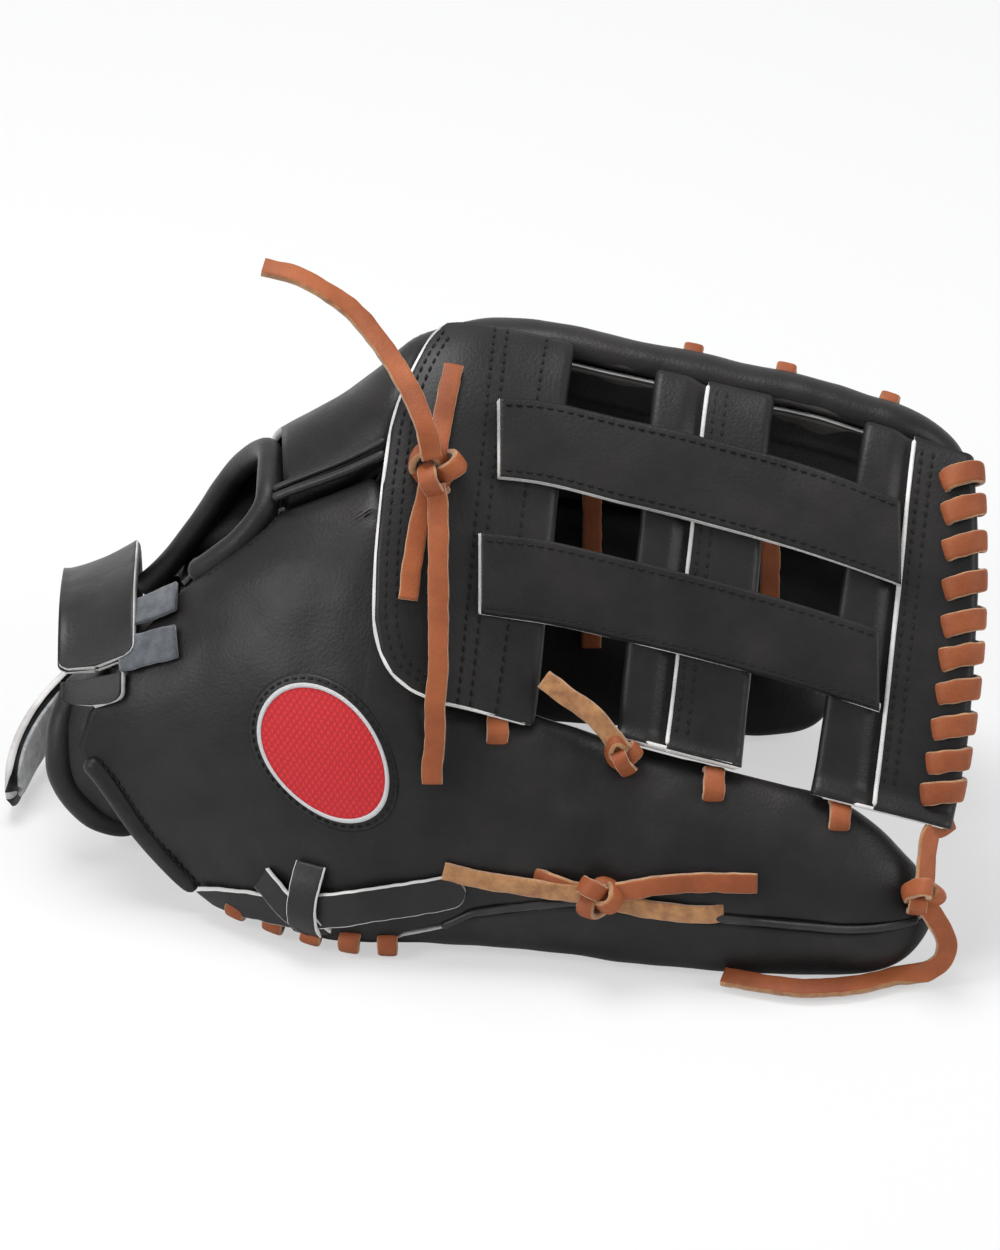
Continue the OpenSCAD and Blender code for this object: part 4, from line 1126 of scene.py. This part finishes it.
def stitches(name, spots, ups, body, pitch=3.2, dash=2.3):
    """A row of stitches along a run of places, as flattened drops of thread lying in the surface."""
    places = np.hstack([np.array(spots), np.array(ups)])
    count = max(2, int(smooth_run(places, 200)[1] / mm / pitch))
    rows, _ = smooth_run(places, count)
    runs = np.gradient(rows[:, :3], axis=0)
    row = bmesh.new()
    for place, up, run in zip(rows[:, :3], rows[:, 3:], runs):
        run = Vector(run).normalized()
        up = Vector(up).normalized()
        side = run.cross(up).normalized()
        up = side.cross(run)
        axes = Matrix((run * dash / 2 * mm, side * thread_wide / 2 * mm, up * thread_rise * mm))
        drop = axes.transposed().to_4x4()
        drop.translation = Vector(place) + up * thread_lift * mm
        bmesh.ops.create_uvsphere(row, u_segments=8, v_segments=6, radius=1, matrix=drop)
    for face in row.faces:
        face.smooth = True
    piece = add_piece(name, row, [thread])
    if body:
        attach(piece, body)
    return piece


def web_row(name, places, lift=0.1, body="thumb_web"):
    """A row on the web's outer face, through places given as x and s."""
    fine, _ = smooth_run(np.array([(x, s, lift) for x, s in places], float) * (1, 60, 1), 40)
    row = stitches(name, *row_on(web_top_face, [(x, s / 60, up_by) for x, s, up_by in fine]), body)
    if not body:
        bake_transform(row)


def inset_rear(v, inset):
    """The base panel's rear edge, moved inwards for a row of stitches."""
    s = mix(base_low, 4, np.clip(v, inset / 125, 1 - inset / 125))
    return float(base_rear(s)) + inset * (1 + 1.4 * float(ease((2.2 - s) / 0.2))), s


def panel_row(name, line, inset=0.0, low=web_low, high=web_high, ends=(0.04, 0.96), body="thumb_web"):
    """A row across a panel, along a line over the web's width."""
    web_row(name, [(line(v) + inset, mix(low, high, v)) for v in np.linspace(*ends, 9)], body=body)


for i, inset in enumerate((3.2, 6.6)):
    web_row(f"base_edge_row_{i + 1}", [inset_rear(v, inset) for v in np.linspace(0.02, 0.97, 26)], body=None)
for i, line in enumerate((slanted(-13.2, -1.6), slanted(-9.2, 2.4), slanted(-1, 15))):
    panel_row(f"base_row_{i + 1}", line, low=2.0, high=3.97, ends=(0, 1), body=None)
for i, inset in enumerate((2.8, 6.2)):
    panel_row(f"crossbar_row_{i + 1}", crossbar_seam, inset)
    panel_row(f"top_row_{i + 1}", top_seam, inset, ends=(0.05, 0.95))
for name, (x_from, x_to, _, _) in strip_runs.items():
    for side in (-1, 1):
        web_row(f"strip_{name}_row_{'near' if side < 0 else 'far'}",
                [(x, float(strip_line(name, x)) + side * (strip_half - 2.2 / web_unit))
                 for x in np.linspace(x_from + 2, x_to - 3, 12)], 4.45)
spots = [patch_spot(1.065, np.array(turn), 0.85) for turn in np.linspace(0, 2 * np.pi, 60)]
middle = patch_spot(0.0, np.array(0.0), -40)
stitches("patch_row", spots, [spot - middle for spot in spots], "hand", pitch=2.7, dash=1.9)
rim_in = [(-93, 3.05), (-88, 3.06), (-82.5, 3.1), (-77, 3.16), (-72.5, 3.27), (-70.5, 3.36)]
mouth_row = [(x, s - 0.03, 0.05) for x, s in rim_in]
stitches("mouth_row", *row_on(shell_at, mouth_row), "hand", pitch=2.6, dash=1.8)
heel_row = [(float(knots(q, root_rear)) + 6.5, root_s(q), 0.05)
            for q in (-0.96, -0.9, -0.8, -0.65, -0.5, -0.38, -0.27)]
stitches("heel_edge_row", *row_on(shell_at, heel_row), "hand", pitch=2.6, dash=1.8)
